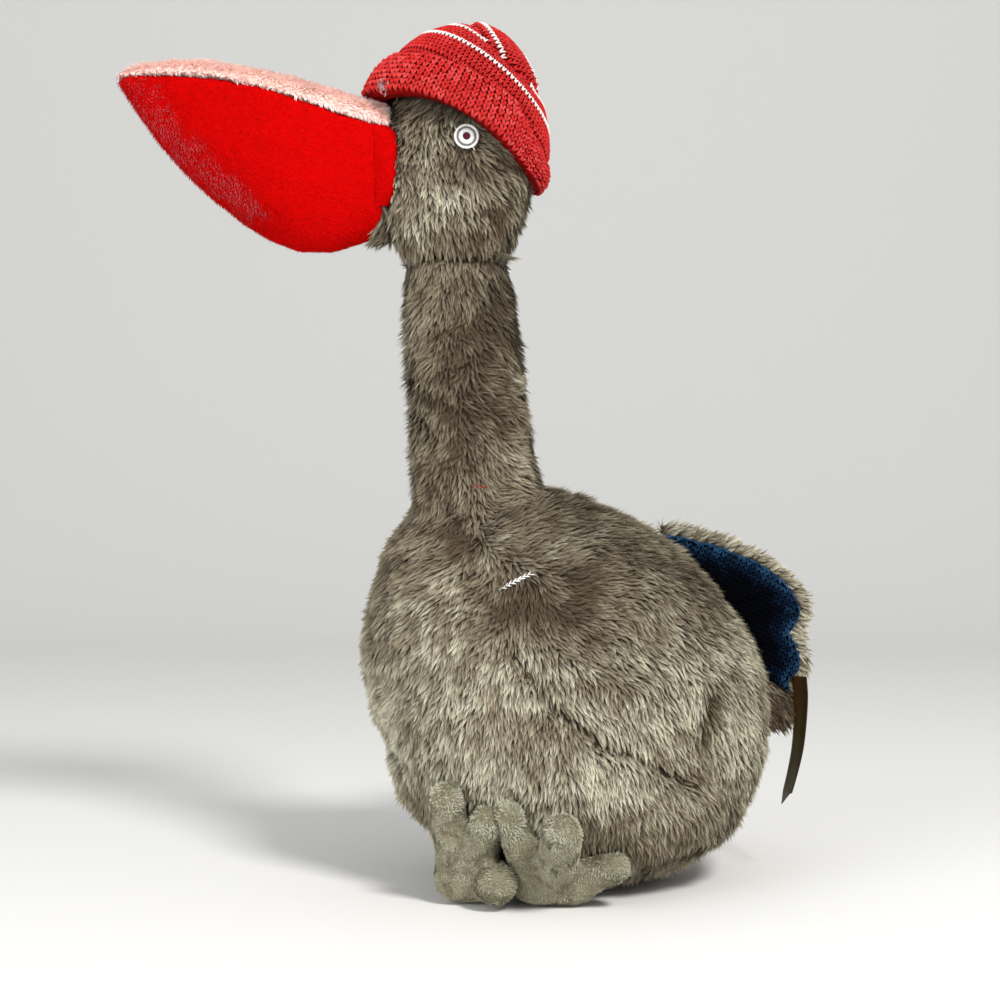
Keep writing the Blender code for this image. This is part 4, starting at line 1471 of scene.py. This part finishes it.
def liningStitches(place, tree, rng):
    # rounds that run along the flap's upper edge, and an edging stitch all round
    turned = place.to_3x3()
    ahead = turned @ Vector((0, 1, 0))
    slope, wide, tall = wingLook["rows"], wingLook["stitchWide"], wingLook["stitchTall"]
    rise = turned @ Vector((-sin(slope), 0, cos(slope)))
    places = []

    def sew(x, z, way, size, shade, height):
        spot, normal, _, _ = tree.ray_cast(place @ Vector((x, -0.02, z)), ahead, 0.06)
        if spot is not None and normal.dot(ahead) < -0.3:
            places.append((spot + normal * height, normal, way, size, shade))

    for row in range(*wingLook["rowSpan"]):
        for column in range(*wingLook["columnSpan"]):
            along, up = column * wide, row * tall
            x = along * cos(slope) - up * sin(slope)
            z = along * sin(slope) + up * cos(slope)
            angle = np.degrees(atan2(z, x))
            inside = liningReach(angle) - sqrt(x * x + z * z)
            if inside > 0.0007 and angle > wingLook["lowest"]:
                # stitches darken away from the flap's edge: painted shade deep in the flap
                dark = min(1, inside / wingLook["paintedShadeRun"])
                shade = 0.80 - 0.80 * dark + 0.20 * rng.random()
                sew(x, z, rise, (wide, tall * 1.04, wide), shade, 0.0004)
    for angle in np.linspace(wingLook["lowest"], wingLook["highest"], wingLook["edgeStitches"]):
        reach = liningReach(angle) - 0.0005
        x, z = cos(radians(angle)), sin(radians(angle))
        along, shade = turned @ Vector((-z, 0, x)), 0.75 + 0.2 * rng.random()
        sew(reach * x, reach * z, along, wingLook["edgeSize"], shade, 0.0005)
    return places


def dressWing(side, word, seed):
    place = wingFrame(side)
    turned = np.array(place.to_3x3())
    node = f"wing_{word.lower()}"
    lining = link(f"wing{word}Lining", wholeMesh(node + "_lining"), navySkin)
    liningTree = treeOf(lining.data)
    skin = stuffedSkin(f"wing{word}Skin", node + "_fur", taupeSkin, wingLook)
    mesh = skin.data
    points, normals = readPoints(mesh)
    level = inFrame(place, points)[:, 2]
    clearOf = np.array([liningTree.find_nearest(Vector(p))[3] for p in points])
    onFurSide = normals @ turned[:, 1] > 0.2
    way = turned[:, 0] + np.array((0, 0, 1.0)) * (level / 0.05 - 0.25)[:, None]
    way = way + swirl(points, 0.016, seed) * 0.6 + swirl(points, 0.006, seed + 1) * 0.5
    fine = bumps(points, 0.006, seed + 4)
    # the fur darkens towards the flap's lower lobe: painted shade on that lobe
    tone = 0.74 + 0.35 * fine - 0.72 * fade(level, -0.029, -0.006)
    thick = np.where(onFurSide, 1.0, fade(clearOf, 0.0007, 0.0012))
    rise = 1.0 + 0.5 * bumps(points, 0.01, seed + 3)
    groom(mesh, normals, way, tone, pile=0.95 + 0.35 * fine, thick=thick, rise=rise)
    fur = growPile(f"wing{word}Fur", skin, furTuft, taupePile, wingLook, seed)
    places = liningStitches(place, liningTree, np.random.default_rng(seed))
    return skin, fur, lining, sewOn(f"wing{word}Knit", places, knitStitch, navyYarn)


wings = {"Left": dressWing(1, "Left", 90), "Right": dressWing(-1, "Right", 110)}
print("wings done")


# Tail

tailLook = {**headLook, "voxel": 0.0014, "shrink": 0.0008}


def dressTail():
    skin = stuffedSkin("tailSkin", "tail", taupeSkin, tailLook)
    points, normals = readPoints(skin.data)
    way = np.array((0.0, 1.0, -0.25)) + swirl(points, 0.012, 131) * 0.7
    tone = 0.6 + 0.4 * bumps(points, 0.008, 134)
    long, rise = 1.0 + 0.2 * bumps(points, 0.01, 132), 1.0 + 0.4 * bumps(points, 0.01, 133)
    groom(skin.data, normals, way, tone, pile=long, rise=rise)
    return skin, growPile("tailFur", skin, furTuft, taupePile, tailLook, 135)


tailSkin, tailFur = dressTail()


# Feet: short grey-green fleece

footLook = {
    "voxel": 0.0012,
    "smoothing": 6,
    "shrink": 0.0004,
    "gap": 0.00060,
    "length": 0.0015,
    "lift": 38,
    "stray": 30,
    "vary": 0.22,
    "tips": {
        "Right": ((0.0021, -0.0897, 0.0445), (0.0175, -0.0833, 0.0362), (0.0179, -0.0777, 0.0107)),
        "Left": ((0.0257, -0.0802, 0.0391), (0.0512, -0.0784, 0.0346), (0.0538, -0.0475, 0.0170)),
    },
    "fold": ((432, 838), (444, 833), (457, 838)),
}
fleecePile = pileMaterial(
    "fleecePile",
    ((0.200, 0.155, 0.095), (0.345, 0.322, 0.228), (0.520, 0.510, 0.395)),
    (0.220, 0.195, 0.125),
    0.50,
    0.15,
)
fleeceSkin = skinMaterial("fleeceSkin", (0.28, 0.26, 0.18), (0.21, 0.185, 0.12), 480, 0.0003)
fleeceTuft = tuftMesh("fleeceTuft", 3, 0.24, 0.7, 0.28, 6)


def dressFoot(word, seed):
    skin = stuffedSkin(f"foot{word}Skin", f"foot_{word.lower()}", fleeceSkin, footLook)
    mesh = skin.data
    points, normals = readPoints(mesh)
    fold = traced(treeOf(mesh), *footLook["fold"]) if word == "Right" else []
    gap, _ = nearLine(points, fold)
    crease = bell(gap, 0.0014)
    soft = bumps(points, 0.009, seed) * 0.0006 - 0.0012 * crease
    points = points + normals * (soft * fade(points[:, 2], 0, 0.006))[:, None]
    points[:, 2] = np.maximum(points[:, 2], 0.0003)
    writePoints(mesh, points)
    tip = np.zeros(len(points))
    for spot in footLook["tips"][word]:
        tip = np.maximum(tip, bell(apart(points, spot), 0.0085, 4))
    way = np.array((0, 0, -0.35)) + swirl(points, 0.010, seed + 1)
    way = way + swirl(points, 0.0035, seed + 2) * 0.6
    low = np.clip(1 - points[:, 2] / 0.020, 0, 1)
    fine = bumps(points, 0.005, seed + 3)
    # darker along the fold of the right foot: painted shade in the crease
    tone = 0.58 + 0.35 * fine + 0.30 * tip - 0.18 * low - 0.7 * crease
    nap = (0.8 + 0.3 * fine + 0.35 * tip) * np.clip(points[:, 2] / 0.003, 0.3, 1)
    groom(mesh, normals, way, tone, pile=nap, thick=1 - 0.7 * crease, rise=0.8 + 0.6 * tip)
    return skin, growPile(f"foot{word}Pile", skin, fleeceTuft, fleecePile, footLook, seed)


feet = {word: dressFoot(word, seed) for word, seed in (("Left", 140), ("Right", 150))}
print("feet done")


# Eyes: rings of satin stitch

eyeLook = {
    "radius": 0.0049,
    "thread": 0.00038,
    "proud": 0.0024,
    "cheekRadius": 0.028,
    # inner and outer share of the radius, stitches, lowest and highest shade, height
    "rings": (
        (0.80, 1.02, 60, 0.84, 0.99, 0.0006),
        (0.62, 0.86, 50, 0.25, 0.33, 0.0000),
        (0.24, 0.68, 44, 0.80, 0.99, 0.0006),
        (0.02, 0.32, 20, 0.02, 0.18, 0.0008),
    ),
}


def threadMaterial():
    # the shade picks the thread: maroon, grey or white
    material, maker, shader = newMaterial("eyeThread", 0.45, 0.0)
    _, shade = strandUv(maker)
    stops = (
        (0.0, (0.035, 0.002, 0.007)),
        (0.20, (0.12, 0.008, 0.022)),
        (0.28, (0.22, 0.21, 0.185)),
        (0.48, (0.36, 0.35, 0.32)),
        (0.60, (0.70, 0.66, 0.69)),
        (0.80, (0.80, 0.79, 0.80)),
        (1.0, (0.86, 0.86, 0.86)),
    )
    ramp = maker.add("ShaderNodeValToRGB", {"stops": stops}, {0: shade})
    maker.put(shader.inputs["Base Color"], ramp)
    return material


eyeThread = threadMaterial()
stitchThread = threadMesh("stitchThread")


def sewEye(side, word):
    start = headPlace @ Vector((-headLook["eyeBack"], side * 0.06, headLook["eyeLevel"]))
    spot, out, _, _ = headTree.ray_cast(start, headPlace.to_3x3() @ Vector((0, -side, 0)))
    over = upward.cross(out).normalized()
    rise = out.cross(over).normalized()
    centre = spot + out * eyeLook["proud"]
    rng = np.random.default_rng(7)
    places = []
    for inner, outer, count, low, high, height in eyeLook["rings"]:
        middle = eyeLook["radius"] * (inner + outer) / 2
        drop = middle**2 / (2 * eyeLook["cheekRadius"])
        for i in range(count):
            turn = 2 * pi * i / count
            ray = over * cos(turn) + rise * sin(turn)
            long = eyeLook["radius"] * (outer - inner) * (0.92 + 0.16 * rng.random())
            at = centre + ray * middle + out * (height - drop)
            wide = max(eyeLook["thread"], 2 * pi * middle / count * 1.15)
            shade = low + (high - low) * rng.random()
            places.append((at, out, ray, (wide, long, eyeLook["thread"]), shade))
    if side > 0:  # a loose end of thread under the outer ring
        at = centre + (over * 0.55 - rise * 0.95) * eyeLook["radius"] + out * 0.0004
        places.append((at, out, (over * 0.7 - rise).normalized(), (0.0003, 0.0024, 0.0003), 0.95))
    return sewOn(f"eye{word}Stitches", places, stitchThread, eyeThread, 0.05)


eyeLeft, eyeRight = sewEye(1, "Left"), sewEye(-1, "Right")


# A white tacking stitch left in the chest, and lint on the cuff and at the neck's root

tackLook = {"from": (502, 590), "to": (534, 574), "thick": 0.00055, "turns": 7, "proud": 0.0024}
lintLook = {"cuff": (387, 86), "hairs": 34, "reach": 0.0030, "chest": ((472, 488), (487, 486))}


def sewTack():
    a, b = (seen(bodyTree, *tackLook[key]) for key in ("from", "to"))
    _, normal, _, _ = bodyTree.find_nearest((a + b) / 2)
    run = (b - a).normalized()
    side = run.cross(normal).normalized()
    out = side.cross(run).normalized()
    count = tackLook["turns"] * 2
    places = []
    for i in range(count):
        share = (i + 0.5) / count
        sign = 1 if i % 2 else -1
        height = tackLook["proud"] + 0.0009 * sin(pi * share)
        spot = a.lerp(b, share) + out * height + side * (0.0003 * sign)
        way = (run * 0.9 + side * 0.45 * sign).normalized()
        thick = tackLook["thick"] * (0.6 + 0.4 * sin(pi * share))
        places.append((spot, out, way, (thick, 0.0027, thick), 0.90 + 0.08 * (i % 3) / 2))
    return sewOn("tackStitch", places, stitchThread, eyeThread, 0.16)


def dropLint():
    rng = np.random.default_rng(9)
    middle = seen(hatTree, *lintLook["cuff"])
    _, normal, _, _ = hatTree.find_nearest(middle)
    places = []
    for _ in range(lintLook["hairs"]):
        off = Vector(rng.normal(0, lintLook["reach"] / 2, 3))
        off -= normal * off.dot(normal)
        way = Vector(rng.normal(0, 1, 3))
        way = (way - normal * way.dot(normal) * 0.8).normalized()
        out = way.cross(normal.cross(way)).normalized()
        height = 0.0012 + 0.0010 * rng.random()
        size = (0.00011, 0.0016 + 0.0018 * rng.random(), 0.0006)
        places.append((middle + off + normal * height, out, way, size, 0.54 + 0.1 * rng.random()))
    return sewOn("lint", places, stitchThread, redYarn, 0.3)


def dropFibre():
    a, b = (seen(bodyTree, *spot) for spot in lintLook["chest"])
    places = []
    for i in range(5):
        share = (i + 0.5) / 5
        spot = a.lerp(b, share) - intoView * 0.0036 + upward * 0.0006 * sin(5 * share)
        way = (b - a).normalized() + upward * 0.3 * cos(6 * share)
        places.append((spot, -intoView, way.normalized(), (0.0003, 0.0022, 0.0003), 0.01))
    return sewOn("redFibre", places, stitchThread, redYarn, 0.1)


tack, lint, fibre = sewTack(), dropLint(), dropFibre()
print("stitches done")


# Ribbon: a strip of satin, hung from the flap

ribbonLook = {
    "width": 0.010,
    "thick": 0.0003,
    "facing": (radians(-18), radians(-38)),
    "curl": 0.0003,
    # the middle line as the picture shows it, top to bottom
    "line": ((799, 676), (801, 696), (800, 720), (797, 750), (792, 776), (785.5, 799)),
    "slant": 0.0030,
}


def satinMaterial():
    material, maker, shader = newMaterial("brownSatin", 0.36, 0.12, (0.5, 0.4, 0.2), 0.4)
    x, y = maker.split(maker.add("ShaderNodeUVMap", {"uv_map": "weave"}))
    warp = maker.math("SINE", x * (2 * pi * 46))
    weft = maker.math("SINE", y * (2 * pi * 200))
    edge = maker.ease(maker.math("ABSOLUTE", x - 0.5), 0.40, 0.47)
    colour = maker.mix(maker.ease(y, 0.05, 0.55), (0.072, 0.024, 0.006), (0.055, 0.041, 0.008))
    faded = maker.noise(maker.add("ShaderNodeTexCoord", out=3), 90.0, 2.0)
    colour = maker.mix(maker.ease(faded, 0.35, 0.7, 0.0, 0.25), colour, (0.085, 0.060, 0.014))
    # one side of the ribbon is painted darker: painted shadow along that side
    colour = maker.mix(maker.ease(x, 0.50, 0.95, 0.0, 0.8), colour, (0.012, 0.007, 0.002))
    maker.put(shader.inputs["Base Color"], colour)
    maker.put(shader.inputs["Roughness"], edge * 0.2 + 0.34)
    bumped(maker, shader, warp * 0.6 + weft * 0.4 + edge * 2.0, 0.3, 0.00005)
    return material


def onPlane(px, py, depth):
    ray = sightLine(px, py)
    share = (depth - camera.location.dot(intoView)) / ray.dot(intoView)
    return camera.location + ray * share


def smoothLine(line, steps):
    # an even walk along a curve through the points, and its length
    knots = [line[0] * 2 - line[1], *line, line[-1] * 2 - line[-2]]
    spots = []
    for i in range(1, len(knots) - 2):
        before, here, after, later = knots[i - 1 : i + 3]
        for k in range(24):
            t = k / 24
            bend = here * 2 + (after - before) * t
            bend += (before * 2 - here * 5 + after * 4 - later) * t**2
            bend += (here * 3 - before - after * 3 + later) * t**3
            spots.append(bend / 2)
    spots.append(line[-1])
    runs = np.cumsum([0.0] + [(b - a).length for a, b in zip(spots, spots[1:])])
    wanted = np.linspace(0, runs[-1], steps + 1)
    columns = [np.interp(wanted, runs, [p[k] for p in spots]) for k in range(3)]
    return [Vector(point) for point in zip(*columns)], float(runs[-1])


def hangRibbon():
    packed, _ = readPoints(wholeMesh("ribbon"))
    depth = float((packed @ np.array(intoView)).mean())
    steps, columns = 60, 8
    line, length = smoothLine([onPlane(px, py, depth) for px, py in ribbonLook["line"]], steps)
    first, last = ribbonLook["facing"]
    bm = bmesh.new()
    uv = bm.loops.layers.uv.new("weave")
    grid = []
    for i, middle in enumerate(line):
        share = i / steps
        turn = first + (last - first) * share
        across = Vector((cos(turn), sin(turn), 0))
        front = across.cross(upward)
        row = []
        for j in range(columns + 1):
            x = 2 * j / columns - 1
            curl = ribbonLook["curl"] * sin(3.0 * share * pi) * (x * x - 0.4)
            slant = ribbonLook["slant"] * x * eased(share, 0.93, 1.0)
            spot = middle + across * (ribbonLook["width"] / 2 * x)
            row.append(bm.verts.new(spot + front * curl + upward * slant))
        grid.append(row)
    for i in range(steps):
        for j in range(columns):
            corners = ((i, j), (i, j + 1), (i + 1, j + 1), (i + 1, j))
            face = bm.faces.new([grid[a][b] for a, b in corners])
            for loop, (a, b) in zip(face.loops, corners):
                loop[uv].uv = (b / columns, a / steps)
    made = link("satinRibbon", meshOf("satinRibbon", bm), satinMaterial())
    wall = made.modifiers.new("wall", "SOLIDIFY")
    wall.thickness = ribbonLook["thick"]
    wall.offset = 0
    flatten(made)
    return made, length


ribbon, ribbonLength = hangRibbon()
print(f"ribbon done, {ribbonLength:.4f} m")


# What each piece stands for


def enrol(pieces):
    for piece in pieces:
        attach(piece, "root")


enrol((bodySkin, *bodyFur, headSkin, headFur, cheekSkin, cheekFur, tailSkin, tailFur))
enrol((pouchSkin, pouchPile))
enrol((topSkin, topPile))
enrol((hatCloth, hatKnit, fibre))
enrol((eyeLeft, eyeRight, tack, lint))
enrol((ribbon,))
for skin, pile in feet.values():
    enrol((skin, pile))
for skin, fur, lining, knit in wings.values():
    enrol((skin, fur))
    enrol((lining, knit))

stands = {
    bodySkin: "body",
    headSkin: "head",
    pouchSkin: "bill_pouch",
    topSkin: "bill_top",
    hatKnit: "knit_hat",
    eyeLeft: "eye_left",
    eyeRight: "eye_right",
    tailSkin: "tail",
    ribbon: "ribbon",
    feet["Left"][0]: "foot_left",
    feet["Right"][0]: "foot_right",
}
for word, (skin, _, lining, _) in wings.items():
    stands[skin] = f"wing_{word.lower()}_fur"
    stands[lining] = f"wing_{word.lower()}_lining"
for piece, nodeName in stands.items():
    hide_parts(nodeName)


# Floor, backdrop and lights

stage = {
    "colour": (0.85, 0.85, 0.835),
    "front": -3.0,
    "back": 1.3,
    "sweep": 1.0,
    "wide": 5.0,
    "top": 5.0,
    "aim": 0.17,
    "sky": 0.50,
    # place across, into and above the view, size, power and colour
    "lamps": {
        "key": ((0.62, -1.25, 1.25), 0.42, 29.0, (1.0, 0.985, 0.96)),
        "fill": ((-1.15, -1.25, 0.55), 1.2, 13.0, (0.96, 0.98, 1.0)),
    },
}


def layFloor():
    # a floor that sweeps up behind the toy
    line = [(stage["front"], 0.0), (stage["back"], 0.0)]
    for i in range(1, 17):
        turn = pi / 2 * i / 16
        line.append((stage["back"] + stage["sweep"] * sin(turn), stage["sweep"] * (1 - cos(turn))))
    line.append((stage["back"] + stage["sweep"], stage["top"]))
    bm = bmesh.new()
    rows = []
    for depth, level in line:
        middle = intoView * depth + upward * level
        rows.append([bm.verts.new(middle + acrossView * stage["wide"] * s) for s in (-1, 1)])
    for low, high in zip(rows, rows[1:]):
        bm.faces.new((low[0], low[1], high[1], high[0]))
    material, _, shader = newMaterial("paleBackdrop", 0.95)
    shader.inputs["Base Color"].default_value = (*stage["colour"], 1)
    link("floor", meshOf("floor", bm), material)


def lamp(name, place, size, power, colour):
    # a round lamp that is aimed at the toy's middle
    data = bpy.data.lights.new(name, "AREA")
    data.shape = "DISK"
    data.size = size
    data.energy = power
    data.color = colour
    made = bpy.data.objects.new(name, data)
    scene.collection.objects.link(made)
    right, deep, high = place
    made.location = acrossView * right + intoView * deep + upward * high
    aim = upward * stage["aim"] - made.location
    made.rotation_euler = aim.to_track_quat("-Z", "Y").to_euler()


layFloor()
for name, settings in stage["lamps"].items():
    lamp(name, *settings)
world = bpy.data.worlds.new("room")
scene.world = world
world.use_nodes = True
sky = world.node_tree.nodes["Background"]
sky.inputs["Color"].default_value = (1.0, 1.0, 1.0, 1)
sky.inputs["Strength"].default_value = stage["sky"]
